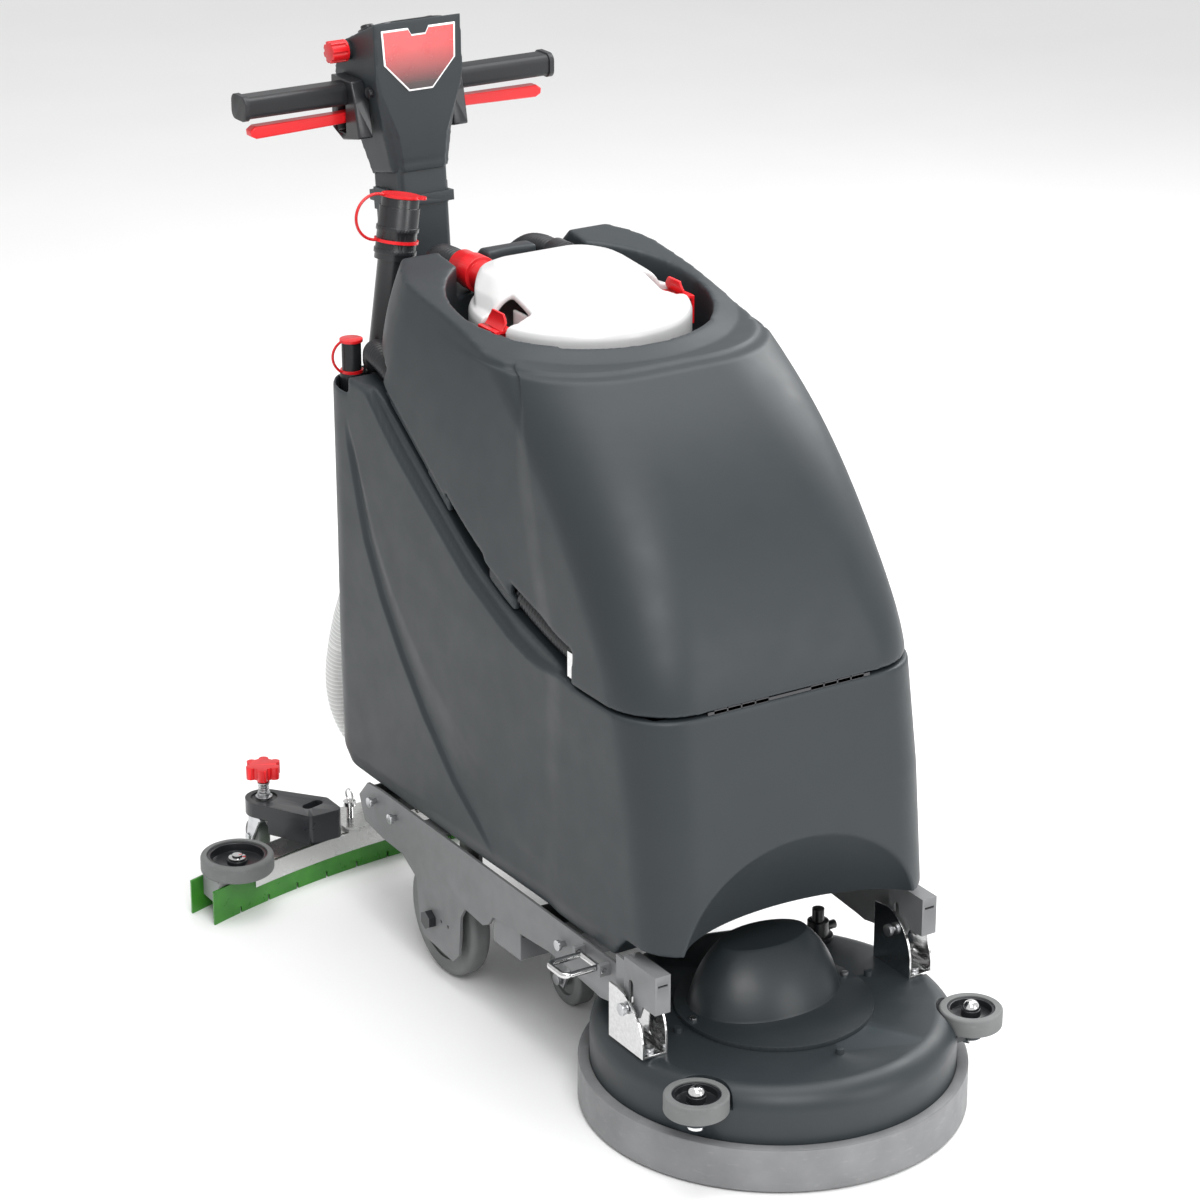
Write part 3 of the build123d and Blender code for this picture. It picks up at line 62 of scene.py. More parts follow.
ROUND_EDGE = 0.0007    # bevel on machined and moulded edges
CAMERA_AT = (-2.3603, -3.3682, 2.3134)
CAMERA_PITCH = 21.8    # degrees below the horizon
CAMERA_HEADING = -32.0
CAMERA_LENS = 111.13

SIDES = {"right": -1, "left": 1}


# ---- shader building ----
class Nodes:
    """Short way to build one Principled material."""

    def __init__(self, name):
        self.material = bpy.data.materials.new(name)
        self.material.use_nodes = True
        self.tree = self.material.node_tree
        self.tree.nodes.clear()
        self.out = self.tree.nodes.new("ShaderNodeOutputMaterial")
        self.bsdf = self.tree.nodes.new("ShaderNodeBsdfPrincipled")
        self.tree.links.new(self.bsdf.outputs[0], self.out.inputs[0])
        self.coords = self.tree.nodes.new("ShaderNodeTexCoord").outputs["Object"]
        self.height = None

    def set(self, **values):
        for key, value in values.items():
            self.bsdf.inputs[key.replace("_", " ")].default_value = value
        return self

    def link(self, output, target):
        self.tree.links.new(output, self.bsdf.inputs[target])
        return self

    def noise(self, scale, detail=3.0, stretch=(1, 1, 1), rough=0.5):
        mapping = self.tree.nodes.new("ShaderNodeMapping")
        mapping.inputs["Scale"].default_value = stretch
        self.tree.links.new(self.coords, mapping.inputs[0])
        noise = self.tree.nodes.new("ShaderNodeTexNoise")
        noise.inputs["Scale"].default_value = scale
        noise.inputs["Detail"].default_value = detail
        noise.inputs["Roughness"].default_value = rough
        self.tree.links.new(mapping.outputs[0], noise.inputs["Vector"])
        return noise.outputs["Fac"]

    def ramp(self, source, stops):
        node = self.tree.nodes.new("ShaderNodeValToRGB")
        while len(node.color_ramp.elements) < len(stops):
            node.color_ramp.elements.new(0.5)
        for element, (place, colour) in zip(node.color_ramp.elements, stops):
            element.position = place
            element.color = (*colour, 1) if isinstance(colour, tuple) else (colour, colour, colour, 1)
        self.tree.links.new(source, node.inputs[0])
        return node.outputs[0]

    def mix(self, amount, first, second):
        node = self.tree.nodes.new("ShaderNodeMix")
        node.data_type = "RGBA"
        for value, target in ((amount, node.inputs[0]), (first, node.inputs[6]), (second, node.inputs[7])):
            if isinstance(value, bpy.types.NodeSocket):
                self.tree.links.new(value, target)
            else:
                target.default_value = (*value, 1) if isinstance(value, tuple) else value
        return node.outputs[2]

    def bump(self, source, distance, strength=1.0):
        node = self.tree.nodes.new("ShaderNodeBump")
        node.inputs["Strength"].default_value = strength
        node.inputs["Distance"].default_value = distance
        self.tree.links.new(source, node.inputs["Height"])
        if self.height is not None:
            self.tree.links.new(self.height, node.inputs["Normal"])
        self.height = node.outputs[0]
        self.tree.links.new(self.height, self.bsdf.inputs["Normal"])
        return self

    def edge_wear(self):
        """0 on flats, 1 on outward edges."""
        geometry = self.tree.nodes.new("ShaderNodeNewGeometry")
        return self.ramp(geometry.outputs["Pointiness"], [(0.52, 0.0), (0.6, 1.0)])


def shade(colour, factor):
    return tuple(channel * factor for channel in colour)


def moulded(name, colour, rough=0.42, grain=900, depth=0.00006, spread=0.12, coat=0.0, specular=0.5):
    """Moulded plastic: fine surface grain, slow colour drift and slightly rubbed edges."""
    m = Nodes(name)
    drift = m.ramp(m.noise(7, 4), [(0.3, shade(colour, 1 - spread)), (0.7, shade(colour, 1 + spread))])
    m.link(m.mix(m.edge_wear(), drift, shade(colour, 1.7)), "Base Color")
    m.link(m.ramp(m.noise(26, 5), [(0.3, rough - 0.03), (0.7, rough + 0.04)]), "Roughness")
    m.set(Coat_Weight=coat, Coat_Roughness=0.12, Specular_IOR_Level=specular)
    m.bump(m.noise(grain, 2), depth, 0.5).bump(m.noise(22, 2), 0.0001, 0.2)
    return m.material


def rubber(name, colour, rough=0.6):
    """Soft rubber: matt, finely pitted, with pale scuffs."""
    m = Nodes(name)
    base = m.ramp(m.noise(18, 6), [(0.3, shade(colour, 0.85)), (0.7, shade(colour, 1.12))])
    scuff = m.ramp(m.noise(60, 8, (1, 1, 3)), [(0.6, 0.0), (0.72, 0.35)])
    m.link(m.mix(scuff, base, shade(colour, 1.4)), "Base Color")
    m.link(m.ramp(m.noise(40, 4), [(0.3, rough - 0.08), (0.7, rough + 0.1)]), "Roughness")
    m.set(Specular_IOR_Level=0.35)
    m.bump(m.noise(1400, 2), 0.00005, 0.6).bump(m.noise(160, 3), 0.0001, 0.3)
    return m.material


def metal(name, colour, rough, stretch=(1, 1, 1), scale=240, depth=0.00002):
    """Metal with fine directional finish and soft handling marks."""
    m = Nodes(name)
    base = m.ramp(m.noise(scale, 4, stretch), [(0.3, shade(colour, 0.88)), (0.7, shade(colour, 1.06))])
    m.link(base, "Base Color")
    m.link(m.ramp(m.noise(30, 5), [(0.3, rough * 0.75), (0.7, rough * 1.3)]), "Roughness")
    m.set(Metallic=1.0)
    m.bump(m.noise(scale * 3, 3, stretch), depth, 0.6)
    return m.material


def powder_coat(name, colour, rough=0.45):
    m = Nodes(name)
    base = m.ramp(m.noise(12, 4), [(0.3, shade(colour, 0.92)), (0.7, shade(colour, 1.06))])
    m.link(m.mix(m.edge_wear(), base, shade(colour, 1.35)), "Base Color")
    m.link(m.ramp(m.noise(50, 3), [(0.3, rough - 0.07), (0.7, rough + 0.07)]), "Roughness")
    m.set(Specular_IOR_Level=0.5)
    m.bump(m.noise(520, 2), 0.00008, 0.5)
    return m.material


def lid_plastic():
    """Milky lid: light passes a little way in."""
    m = Nodes("lid_white")
    m.link(m.ramp(m.noise(9, 3), [(0.3, (0.55, 0.55, 0.55)), (0.7, (0.6, 0.6, 0.6))]), "Base Color")
    m.link(m.ramp(m.noise(30, 4), [(0.3, 0.3), (0.7, 0.42)]), "Roughness")
    m.set(Subsurface_Weight=0.35, Subsurface_Scale=0.02, Subsurface_Radius=(1, 1, 1), Coat_Weight=0.15)
    m.bump(m.noise(700, 2), 0.00004, 0.5)
    return m.material


def green_blade():
    """Slightly see-through polyurethane."""
    m = Nodes("blade_green")
    m.link(m.ramp(m.noise(30, 4), [(0.3, (0.03, 0.19, 0.015)), (0.7, (0.05, 0.27, 0.025))]), "Base Color")
    m.link(m.ramp(m.noise(60, 4), [(0.3, 0.25), (0.7, 0.42)]), "Roughness")
    m.set(Subsurface_Weight=0.2, Subsurface_Scale=0.004, Subsurface_Radius=(0.4, 1, 0.3), Specular_IOR_Level=0.5)
    m.bump(m.noise(500, 2), 0.00005, 0.5)
    return m.material


def badge_red(low, high):
    """Shield plate: bright red above, nearly black at its foot."""
    m = Nodes("badge_red")
    split = m.tree.nodes.new("ShaderNodeSeparateXYZ")
    m.tree.links.new(m.coords, split.inputs[0])
    place = m.tree.nodes.new("ShaderNodeMapRange")
    place.inputs["From Min"].default_value = low
    place.inputs["From Max"].default_value = high
    m.tree.links.new(split.outputs[2], place.inputs[0])
    m.link(m.ramp(place.outputs[0], [(0.1, (0.02, 0.004, 0.004)), (0.75, (0.62, 0.012, 0.014))]), "Base Color")
    m.link(m.ramp(m.noise(60, 3), [(0.3, 0.2), (0.7, 0.3)]), "Roughness")
    m.set(Coat_Weight=0.6, Coat_Roughness=0.08)
    m.bump(m.noise(600, 2), 0.00002, 0.3)
    return m.material


def display_glass():
    m = Nodes("display_glass")
    m.link(m.ramp(m.noise(220, 1), [(0.4, (0.015, 0.02, 0.018)), (0.6, (0.03, 0.04, 0.036))]), "Base Color")
    m.set(Roughness=0.08, Coat_Weight=0.8, Coat_Roughness=0.04)
    m.bump(m.noise(300, 1), 0.00001, 0.3)
    return m.material


def bristle_fibre():
    m = Nodes("bristle")
    fibre = m.noise(900, 2, (1, 1, 0.03))
    m.link(m.ramp(fibre, [(0.35, (0.012, 0.025, 0.07)), (0.65, (0.05, 0.09, 0.2))]), "Base Color")
    m.set(Roughness=0.5)
    m.bump(fibre, 0.0004, 0.8)
    return m.material


SLATE = (0.025, 0.031, 0.035)
LOOK = {
    "tank": moulded("tank_slate", SLATE, 0.44, spread=0.03, specular=0.35),
    "deck": moulded("deck_slate", SLATE, 0.42, spread=0.04, specular=0.38),
    "cover": moulded("cover_slate", shade(SLATE, 0.9), 0.38, spread=0.04, specular=0.4),
    "column": moulded("column_slate", shade(SLATE, 0.85), 0.42, spread=0.04),
    "black": moulded("black_plastic", (0.012, 0.013, 0.015), 0.3, coat=0.1, spread=0.2),
    "grip": moulded("grip_black", (0.014, 0.015, 0.017), 0.42, grain=450, depth=0.0002),
    "corrugated_black": moulded("hose_black", (0.015, 0.016, 0.018), 0.38, spread=0.2),
    "corrugated_white": moulded("hose_white", (0.7, 0.71, 0.7), 0.4, spread=0.05),
    "red": moulded("red_plastic", (0.62, 0.008, 0.012), 0.34, coat=0.15, spread=0.05),
    "lid": lid_plastic(),
    "white_trim": moulded("white_trim", (0.75, 0.75, 0.75), 0.35, spread=0.03),
    "grey_tyre": rubber("grey_tyre", (0.16, 0.165, 0.165)),
    "skirt": rubber("skirt_grey", (0.21, 0.213, 0.218), 0.5),
    "grey_plastic": moulded("grey_plastic", (0.24, 0.245, 0.25), 0.45, spread=0.06),
    "paint": powder_coat("chassis_paint", (0.155, 0.158, 0.162)),
    "steel": metal("steel_brushed", (0.68, 0.68, 0.67), 0.26, (1, 1, 12)),
    "polished": metal("steel_polished", (0.72, 0.72, 0.72), 0.12),
    "chrome": metal("chrome", (0.85, 0.85, 0.86), 0.06),
    "zinc": metal("zinc", (0.55, 0.56, 0.57), 0.35, scale=90),
    "dark_metal": powder_coat("dark_metal", (0.03, 0.03, 0.033)),
    "blade": green_blade(),
    "bristle": bristle_fibre(),
    "display": display_glass(),
}


# ---- mesh helpers ----
FLAT_PLATES = ("chassis_side_plates",)


def body_of_node(node):
    for body, nodes in frame["record"]["behaviour"]["bodies"].items():
        if node in nodes:
            return body
    raise KeyError(node)


def add_object(name, mesh, look):
    obj = bpy.data.objects.new(name, mesh)
    bpy.context.scene.collection.objects.link(obj)
    mesh.materials.clear()
    mesh.materials.append(LOOK[look])
    return obj


def settle(obj, node):
    """The piece stands for the CAD node and rides on its body."""
    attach(obj, body_of_node(node))
    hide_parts(node)
    return obj


def from_bmesh(bm, name, look, smooth=True):
    mesh = bpy.data.meshes.new(name)
    bm.to_mesh(mesh)
    bm.free()
    for polygon in mesh.polygons:
        polygon.use_smooth = smooth
    return add_object(name, mesh, look)


def cad_bmesh(node):
    """The CAD node's mesh in the row frame, with its coincident corners joined."""
    source = frame["nodes"][node]
    bm = bmesh.new()
    bm.from_mesh(source.data)
    bm.transform(source.matrix_world)
    bmesh.ops.remove_doubles(bm, verts=bm.verts, dist=1e-6)
    if node in FLAT_PLATES:
        bmesh.ops.dissolve_limit(bm, angle_limit=0.01, verts=bm.verts, edges=bm.edges)
    return bm


def islands(bm):
    """Lists of faces that hang together, one per solid."""
    seen = set()
    groups = []
    for face in bm.faces:
        if face in seen:
            continue
        stack, group = [face], []
        seen.add(face)
        while stack:
            current = stack.pop()
            group.append(current)
            for edge in current.edges:
                for other in edge.link_faces:
                    if other not in seen:
                        seen.add(other)
                        stack.append(other)
        groups.append(group)
    return groups


def keep_faces(node, wanted):
    """A new mesh of the CAD node holding only the solids for which wanted(low, high) is true."""
    bm = cad_bmesh(node)
    drop = []
    for group in islands(bm):
        points = np.array([v.co[:] for face in group for v in face.verts])
        if not wanted(points.min(0), points.max(0)):
            drop += group
    bmesh.ops.delete(bm, geom=drop, context="FACES")
    return bm


def finish_edges(obj, width=ROUND_EDGE, segments=2, angle=32):
    """Rounded edges and smooth shading between them."""
    bevel = obj.modifiers.new("edges", "BEVEL")
    bevel.width = width
    bevel.segments = segments
    bevel.limit_method = "ANGLE"
    bevel.angle_limit = math.radians(angle)
    bevel.harden_normals = False
    obj.data.set_sharp_from_angle(angle=math.radians(angle))
    return obj


def dress(node, *rules, width=ROUND_EDGE):
    """Split a CAD node's solids among looks: each rule is (look, wanted(low, high)), and the last takes the rest."""
    rest = rules[-1][0]
    tests = rules[:-1]
    for look, _ in rules:
        if look == "skip":
            continue

        def mine(low, high, look=look):
            for other, wanted in tests:
                if wanted(low, high):
                    return other == look
            return look == rest
        bm = keep_faces(node, mine)
        if bm.faces:
            obj = from_bmesh(bm, f"{node}_{look}", look)
            settle(finish_edges(obj, width), node)
        else:
            bm.free()


def whole(node, look, width=ROUND_EDGE):
    dress(node, (look, None), width=width)


def smooth_route(points, spacing):
    """Evenly spaced points on a smooth curve through the corner points of a hose."""
    points = [Vector(p) for p in points]
    dense = []
    padded = [points[0] * 2 - points[1], *points, points[-1] * 2 - points[-2]]
    for a, b, c, d in zip(padded, padded[1:], padded[2:], padded[3:]):
        for step in range(24):
            t = step / 24
            dense.append(0.5 * (2 * b + (c - a) * t + (2 * a - 5 * b + 4 * c - d) * t**2
                                + (3 * b - a - 3 * c + d) * t**3))
    dense.append(points[-1])
    lengths = [0.0]
    for a, b in zip(dense, dense[1:]):
        lengths.append(lengths[-1] + (b - a).length)
    count = max(int(lengths[-1] / spacing), 2)
    marks = np.linspace(0, lengths[-1], count + 1)
    table = np.array([v[:] for v in dense])
    return np.stack([np.interp(marks, lengths, table[:, k]) for k in range(3)], 1)


def corrugated(route, radius, depth, pitch, sides=28, per_ring=4):
    """Hose whose outside waves between radius and radius - depth."""
    line = smooth_route(route, pitch / per_ring)
    tangents = np.gradient(line, axis=0)
    tangents /= np.linalg.norm(tangents, axis=1)[:, None]
    up = Vector((1, 0, 0)) if abs(tangents[0][0]) < 0.8 else Vector((0, 0, 1))
    bm = bmesh.new()
    rings = []
    for k, (point, tangent) in enumerate(zip(line, tangents)):
        tangent = Vector(tangent)
        up = (up - tangent * up.dot(tangent)).normalized()
        side = tangent.cross(up)
        wave = 0.5 - 0.5 * math.cos(2 * math.pi * k / per_ring)
        r = radius - depth * wave**0.7
        ring = []
        for step in range(sides):
            angle = 2 * math.pi * step / sides
            ring.append(bm.verts.new(Vector(point) + (up * math.cos(angle) + side * math.sin(angle)) * r))
        rings.append(ring)
    for first, second in zip(rings, rings[1:]):
        for k in range(sides):
            bm.faces.new((first[k], first[(k + 1) % sides], second[(k + 1) % sides], second[k]))
    bm.faces.new(rings[0])
    bm.faces.new(rings[-1])
    bmesh.ops.recalc_face_normals(bm, faces=bm.faces)
    return bm


# ---- tanks: rounded, creased mouldings ----
def step(value):
    value = np.clip(value, 0, 1)
    return value * value * (3 - 2 * value)


def remeshed(node, voxel, smoothing, look="tank", wanted=lambda low, high: True, extra=()):
    """Evenly meshed copy of a CAD node's solids, fused with extra (low, high) blocks, with rounded edges."""
    bm = keep_faces(node, wanted)
    for low, high in extra:
        middle = Matrix.Translation((Vector(low) + Vector(high)) / 2)
        size = Matrix.Diagonal((*(Vector(high) - Vector(low)), 1))
        bmesh.ops.create_cube(bm, size=1, matrix=middle @ size)
    obj = from_bmesh(bm, f"{node}_moulding", look)
    remesh = obj.modifiers.new("remesh", "REMESH")
    remesh.mode = "VOXEL"
    remesh.voxel_size = voxel
    smooth = obj.modifiers.new("smooth", "SMOOTH")
    smooth.factor = 0.5
    smooth.iterations = smoothing
    bpy.context.view_layer.update()
    mesh = bpy.data.meshes.new_from_object(obj.evaluated_get(bpy.context.evaluated_depsgraph_get()))
    obj.modifiers.clear()
    obj.data = mesh
    mesh.materials.clear()
    mesh.materials.append(LOOK[look])
    for polygon in mesh.polygons:
        polygon.use_smooth = True
    return obj


def push_inward(obj, shift):
    """Move vertices along -X/+X towards the middle by shift(x, y, z) metres."""
    mesh = obj.data
    co = np.empty(len(mesh.vertices) * 3)
    mesh.vertices.foreach_get("co", co)
    co = co.reshape(-1, 3)
    co[:, 0] -= np.sign(co[:, 0]) * shift(np.abs(co[:, 0]), co[:, 1], co[:, 2])
    mesh.vertices.foreach_set("co", co.ravel())
    mesh.update()


# Side view (y, z) of the tanks' styling lines, in metres, from the bottom up.
CORNER_LINE = ((0.180, 0.240), (0.175, 0.300), (0.170, 0.386), (0.160, 0.473), (0.157, 0.538), (0.171, 0.600),
               (0.196, 0.668), (0.221, 0.747), (0.243, 0.816), (0.270, 0.863), (0.298, 0.895), (0.330, 0.925))
COVE_REAR = ((0.350, 0.250), (0.442, 0.313), (0.513, 0.378), (0.571, 0.445), (0.617, 0.508), (0.656, 0.579),
             (0.673, 0.628), (0.695, 0.700), (0.700, 0.741))
COVE_FRONT = ((0.190, 0.280), (0.340, 0.353), (0.432, 0.404), (0.489, 0.442), (0.543, 0.490), (0.586, 0.539),
              (0.621, 0.590), (0.659, 0.672), (0.694, 0.743))
RIM_LINE = ((0.110, 0.555), (0.190, 0.568), (0.290, 0.595), (0.390, 0.640), (0.490, 0.704), (0.580, 0.762),
            (0.640, 0.793), (0.800, 0.797))


def y_on(line, z):
    return np.interp(z, [point[1] for point in line], [point[0] for point in line])


def corner_step(x, y, z):
    """The flank sinks behind the nose's corner line: a crisp groove by the opening, a soft hollow lower down."""
    behind = y - y_on(CORNER_LINE, z)
    soft = step((0.90 - z) / 0.12)
    groove = 1 - 0.55 * (1 - soft) * step((behind - 0.007) / 0.014)
    sink = (0.0055 - 0.002 * soft) * step(behind / (0.006 + 0.04 * soft)) * groove
    return step((x - 0.11) / 0.03) * sink * (1 - step((behind - 0.05) / 0.22))


def flank_cove(x, y, z):
    """Shallow cove that sweeps from the rear's top to the front's bottom, with a crisp rear edge."""
    rear, front = y_on(COVE_REAR, z), y_on(COVE_FRONT, z)
    width = np.maximum(rear - front, 0.004)
    across = (y - front) / width
    cove = step(across / 0.8) * (1 - step((y - rear + 0.007) / 0.007))
    fade = step((z - 0.235) / 0.05) * step((0.745 - z) / 0.06)
    return step((x - 0.18) / 0.02) * 0.0045 * cove * fade


def rim_trough(x, y, z):
    """Shoulder below the lower tank's sweeping rim."""
    rim = np.interp(y, [point[0] for point in RIM_LINE], [point[1] for point in RIM_LINE])
    depth = 0.027 * step((y - 0.13) / 0.12) * (1 - step((y - 0.56) / 0.12))
    return step((x - 0.17) / 0.015) * 0.009 * step((z - rim + depth) / 0.006) * (depth > 0.003)


def undercut(x, y, z):
    """The upper tank's flank curls in just above the lower tank's rim."""
    rise = z - np.interp(y, [point[0] for point in RIM_LINE], [point[1] for point in RIM_LINE])
    along = step((y - 0.13) / 0.1) * (1 - step((y - 0.60) / 0.08))
    return step((x - 0.17) / 0.015) * 0.008 * along * (1 - step((rise - 0.016) / 0.014))


def scoop_nose(obj):
    """Hollow the nose above the brush deck back to a sloping arched face."""
    half, foot, apex = 0.178, 0.250, 0.432
    rise = apex - foot
    radius = (half * half + rise * rise) / (2 * rise)
    for vert in obj.data.vertices:
        x, y, z = vert.co
        if abs(x) < half and y < 0.02 and 0.235 < z < 0.42:
            arch = apex - radius + math.sqrt(radius * radius - x * x)
            face = -0.075 + (arch - z) * 0.463
            if y < face < y + 0.05:
                vert.co.y = face + (0.004 if vert.normal.y > 0.3 else 0.0)
    obj.data.update()


def round_opening(obj):
    """Slope the upper tank's top away from the front of its round opening."""
    for vert in obj.data.vertices:
        x, y, z = vert.co
        if z > 0.895 and y < 0.5:
            away = math.hypot(x, y - 0.456) - 0.171
            fall = 0.4 * min(max(away, 0.0), 0.03)
            vert.co.z -= fall * float(step((0.5 - y) / 0.12) * step((z - 0.895) / 0.02))
    obj.data.update()


def make_tanks():
    seam_skin = [((-0.121, -0.023, 0.5475), (0.121, -0.0165, 0.5545))]
    lower = remeshed("lower_tank", VOXEL, TANK_SMOOTHING, extra=seam_skin)
    push_inward(lower, lambda x, y, z: corner_step(x, y, z) + flank_cove(x, y, z) + rim_trough(x, y, z))
    scoop_nose(lower)
    settle(lower, "lower_tank")
    seam_skin = [((-0.121, -0.0225, 0.5585), (0.121, -0.0165, 0.566))]
    upper = remeshed("upper_tank", VOXEL, TANK_SMOOTHING, extra=seam_skin)
    push_inward(upper, lambda x, y, z: corner_step(x, y, z) + undercut(x, y, z))
    round_opening(upper)
    settle(upper, "upper_tank")


def make_hinge():
    """Dark knuckles, flat where they would stand proud of the tanks, and the bright locating plates."""
    for half in ("lower", "upper"):
        node = f"tank_hinge_{half}"
        for look, wanted in (("dark_metal", lambda low, high: low[1] < 0.1), ("polished", lambda low, high: low[1] > 0.1)):
            bm = keep_faces(node, wanted)
            if not bm.faces:
                bm.free()
                continue
            for vert in bm.verts:
                if vert.co.y < 0:
                    vert.co.y = max(vert.co.y, -0.0215)
            settle(finish_edges(from_bmesh(bm, f"{node}_{look}", look), 0.0003), node)


def head_facets(x, y, z):
    """The head's lower front corners fall back from a raised middle panel, each behind a crisp line."""
    edge = np.interp(z, (0.995, 1.05, 1.10, 1.125), (0.030, 0.037, 0.056, 0.066))
    front = step((0.93 - y) / 0.03)
    return front * 0.30 * np.maximum(x - edge, 0) + front * 0.0015 * step((x - edge) / 0.003)


def make_head():
    head = remeshed("head_housing", 0.0022, 5, "tank", lambda low, high: (high - low).max() > 0.1)
    mesh = head.data
    for vert in mesh.vertices:
        x, y, z = vert.co
        if z < 1.13:
            vert.co.y += float(2.2 * head_facets(abs(x), y, z))
    mesh.update()
    settle(head, "head_housing")
    dress("head_housing", ("skip", lambda low, high: (high - low).max() > 0.1), ("black", None))


def make_lid():
    wide = lambda low, high: high[0] - low[0] > 0.2
    floors = []
    for sign in (-1, 1):
        for x in ((0.090, 0.112, 0.898, 0.903), (0.090, 0.095, 0.899, 0.926)):
            ends = sorted((sign * x[0], sign * x[1]))
            floors.append(((ends[0], 0.413, x[2]), (ends[1], 0.465, x[3])))
    lid = remeshed("separator_lid", 0.0018, 7, "lid", wide, floors)
    settle(lid, "separator_lid")
    dress("separator_lid", ("skip", wide), ("zinc", lambda low, high: (high - low).max() < 0.06), ("lid", None))


# ---- hoses ----
def in_metres(points):
    return [tuple(value * MM for value in point) for point in points]


RECOVERY_ROUTE = in_metres([(-66, 640, 934), (-66, 672, 934), (-63, 702, 928), (-58, 728, 906), (-54, 742, 876),
                            (-54, 747, 846), (-54, 748, 815)])
MOTOR_ROUTE = in_metres([(66, 625, 934), (66, 660, 934), (64, 690, 927), (61, 720, 906), (58, 738, 876),
                         (58, 747, 846), (58, 748, 815)])
DRAIN_ROUTE = in_metres([(-179, 168, 584), (-179, 226, 597), (-179, 286, 616), (-179, 346, 642), (-179, 406, 674),
                         (-179, 466, 713), (-179, 524, 751), (-179, 576, 785), (-178, 624, 812), (-173, 668, 821),
                         (-160, 706, 814), (-146, 734, 793)])
SQUEEGEE_ROUTE = in_metres([(0, 926, 88), (-3, 954, 90), (-26, 981, 107), (-52, 993, 140), (-71, 994, 186),
                            (-80, 987, 238), (-82, 970, 296), (-82, 946, 354), (-82, 914, 410), (-82, 877, 462),
                            (-82, 845, 498), (-82, 812, 504)])


def make_hoses():
    routes = {"recovery_hose": (RECOVERY_ROUTE, 0.018, "corrugated_black"),
              "motor_hose": (MOTOR_ROUTE, 0.017, "corrugated_black")}
    for node, (route, radius, look) in routes.items():
        hose = from_bmesh(corrugated(route, radius, 0.0022, 0.006), node + "_look", look)
        settle(hose, node)
    drain = from_bmesh(corrugated(DRAIN_ROUTE, 0.017, 0.0025, 0.0065), "drain_hose_look", "corrugated_black")
    settle(drain, "drain_hose")
    dress("drain_hose", ("skip", lambda low, high: high[1] - low[1] > 0.4), ("black", None))
    whole_line = smooth_route(SQUEEGEE_ROUTE, 0.004)
    middle = len(whole_line) // 2
    lower = [tuple(p) for p in whole_line[:middle + 1:6]]
    upper = [tuple(p) for p in whole_line[middle::6]]
    lower[-1] = tuple(whole_line[middle])
    upper[-1] = tuple(whole_line[-1])
    for name, points, pair in (("low", lower, ("squeegee", "squeegee_carrier")),
                               ("high", upper, ("squeegee_carrier", "chassis"))):
        hose = from_bmesh(corrugated(points, 0.021, 0.0025, 0.007), "squeegee_hose_" + name, "corrugated_white")
        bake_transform(hose)
        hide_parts("squeegee_hose")


# ---- brush, tyres and badge ----
def make_brush():
    low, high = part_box("brush")
    top = high[2] - 0.018
    bm = bmesh.new()
    for ring in (70, 104, 138, 172, 206):
        for offset in (-5, 5):
            radius = (ring + offset) * MM
            count = int(2 * math.pi * radius / 0.0105)
            for k in range(count):
                angle = 2 * math.pi * (k + 0.5 * (offset > 0)) / count
                at = Matrix.Translation((radius * math.cos(angle), radius * math.sin(angle), (top + low[2]) / 2))
                bmesh.ops.create_cone(bm, cap_ends=True, segments=7, radius1=0.0046, radius2=0.0034,
                                      depth=top - low[2], matrix=at)
    settle(from_bmesh(bm, "brush_tufts", "bristle"), "brush")
    dress("brush", ("skip", lambda low, high: high[2] < 0.0525), ("black", None))


def make_badge():
    low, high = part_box("front_badge")
    whole("front_badge", "white_trim", 0.0003)
    bm = cad_bmesh("front_badge")
    centre = Vector(((low[0] + high[0]) / 2, 0, (low[2] + high[2]) / 2))
    for vert in bm.verts:
        vert.co.x = centre.x + (vert.co.x - centre.x) * 0.955
        vert.co.z = centre.z + (vert.co.z - centre.z) * 0.94
    for vert in bm.verts:
        vert.co.y -= 0.0005
    LOOK["badge"] = badge_red(low[2], high[2])
    settle(finish_edges(from_bmesh(bm, "badge_face", "badge"), 0.0002), "front_badge")


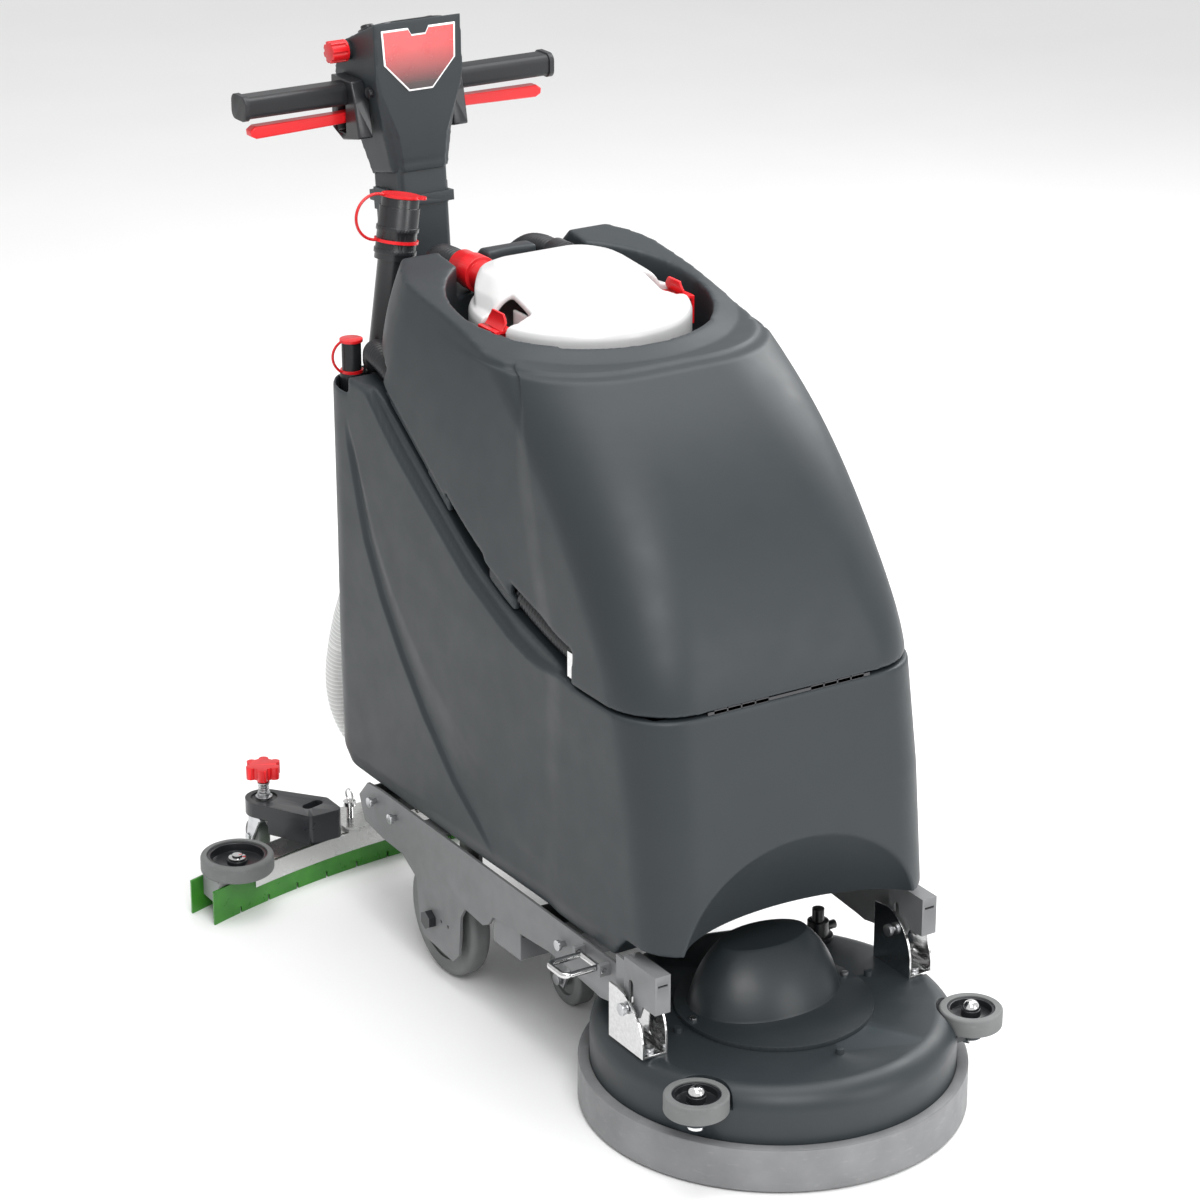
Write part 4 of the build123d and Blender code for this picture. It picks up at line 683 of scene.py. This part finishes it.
def dress_fixed_parts():
    """CAD pieces that keep their shape: rounded edges and one look per solid."""
    small = lambda low, high: (high - low).max() < 0.05
    whole("chassis_side_plates", "paint")
    whole("crossmembers", "paint")
    dress("chassis_brackets", ("steel", lambda low, high: low[2] > 0.31 and high[0] - low[0] > 0.1), ("paint", None))
    dress("wheel_axles", ("black", lambda low, high: abs(low[1] + high[1]) / 2 > 0.45 and abs(low[1] + high[1]) / 2
                          < 0.56), ("zinc", None))
    dress("lift_pedal", ("polished", None))
    whole("deck_shell", "deck", 0.0012)
    whole("deck_skirt", "skirt", 0.0012)
    whole("motor_cover", "cover", 0.0015)
    whole("brush_motor", "dark_metal")
    whole("brush_drive", "zinc")
    whole("deck_brackets", "polished", 0.0004)
    whole("deck_pins", "zinc")
    dress("deck_fasteners", ("chrome", lambda low, high: high[1] < -0.1),
          ("black", lambda low, high: (high - low).max() > 0.045), ("zinc", None), width=0.0004)
    for side in SIDES:
        dress(f"bumper_roller_{side}", ("grey_tyre", lambda low, high: high[0] - low[0] > 0.07), ("black", None))
        dress(f"main_wheel_{side}", ("grey_tyre", lambda low, high: high[1] - low[1] > 0.15), ("black", None))
        dress(f"castor_fork_{side}", ("zinc", None))
        whole(f"castor_wheel_{side}", "grey_tyre")
        dress(f"squeegee_roller_{side}", ("grey_tyre", lambda low, high: high[0] - low[0] > 0.09), ("black", None))
        whole(f"support_castor_{side}", "zinc")
        whole(f"support_wheel_{side}", "grey_tyre")
        dress(f"star_knob_{side}", ("red", lambda low, high: high[2] > 0.145), ("zinc", None), width=0.0012)
        whole(f"lid_clip_{side}", "red", 0.001)
        whole(f"trigger_{side}", "red", 0.0018)
        whole(f"panel_button_{side}", "black")
    whole("battery_pack", "black")
    whole("vacuum_motor", "dark_metal")
    dress("hose_cuffs", ("red", lambda low, high: high[0] < 0), ("black", None))
    whole("hose_sockets", "black")
    whole("outlet_caps", "red", 0.0005)
    whole("handle_column", "column", 0.001)
    dress("control_panel", ("black", lambda low, high: high[0] - low[0] > 0.1), ("display", None))
    dress("hand_grips", ("grip", lambda low, high: high[0] - low[0] > 0.1),
          ("zinc", lambda low, high: high[0] - low[0] < 0.009), ("black", None), width=0.002)
    whole("red_key", "red")
    whole("squeegee_blades", "blade", 0.0003)
    dress("squeegee_channel", ("black", lambda low, high: high[2] > 0.104 and high[1] < 0.93 and high[0] < 0.025),
          ("steel", None), width=0.0003)
    dress("squeegee_supports", ("grey_plastic", lambda low, high: max(abs(low[0]), abs(high[0])) > 0.37),
          ("polished", small), ("black", None), width=0.0012)
    whole("swing_bracket", "paint")


# ---- studio ----
def add_area(name, at, target, size, power, colour=(1, 1, 1)):
    light = bpy.data.lights.new(name, "AREA")
    light.shape = "RECTANGLE"
    light.size, light.size_y = size
    light.energy = power
    light.color = colour
    obj = bpy.data.objects.new(name, light)
    obj.location = at
    obj.rotation_euler = (Vector(target) - Vector(at)).to_track_quat("-Z", "Y").to_euler()
    bpy.context.scene.collection.objects.link(obj)


def studio():
    world = bpy.data.worlds.new("studio")
    world.use_nodes = True
    tree = world.node_tree
    seen = tree.nodes.new("ShaderNodeLightPath")
    strength = tree.nodes.new("ShaderNodeMapRange")
    strength.inputs["To Min"].default_value = 0.72
    strength.inputs["To Max"].default_value = 1.0
    tree.links.new(seen.outputs["Is Camera Ray"], strength.inputs[0])
    tree.links.new(strength.outputs[0], tree.nodes["Background"].inputs[1])
    tree.nodes["Background"].inputs[0].default_value = (1, 1, 1, 1)
    bpy.context.scene.world = world
    bm = bmesh.new()
    bmesh.ops.create_grid(bm, x_segments=1, y_segments=1, size=30)
    floor_look = Nodes("floor")
    floor_look.link(floor_look.ramp(floor_look.noise(2, 2), [(0.3, 0.93), (0.7, 0.95)]), "Base Color")
    floor_look.set(Roughness=0.7, Specular_IOR_Level=0.2)
    LOOK["floor"] = floor_look.material
    floor = from_bmesh(bm, "studio_floor", "floor")
    middle = (0, 0.35, 0.5)
    add_area("key", (-1.2, -2.8, 3.6), middle, (2.0, 2.0), 95)
    add_area("rim", (2.8, 1.0, 2.6), middle, (1.6, 2.4), 75)
    add_area("top", (0.2, 0.4, 3.6), middle, (2.6, 2.6), 70)
    add_area("front", (1.8, -3.4, 1.6), middle, (1.2, 2.2), 40)
    bpy.context.scene.view_settings.view_transform = "Standard"


def add_camera():
    camera = bpy.data.objects.new("camera", bpy.data.cameras.new("camera"))
    camera.data.lens = CAMERA_LENS
    camera.data.sensor_width = 36
    camera.data.clip_end = 50
    camera.location = CAMERA_AT
    camera.rotation_euler = (math.radians(90 - CAMERA_PITCH), 0, math.radians(CAMERA_HEADING))
    bpy.context.scene.collection.objects.link(camera)
    bpy.context.scene.camera = camera


make_tanks()
make_hinge()
make_head()
make_lid()
make_hoses()
make_brush()
make_badge()
dress_fixed_parts()
studio()
add_camera()
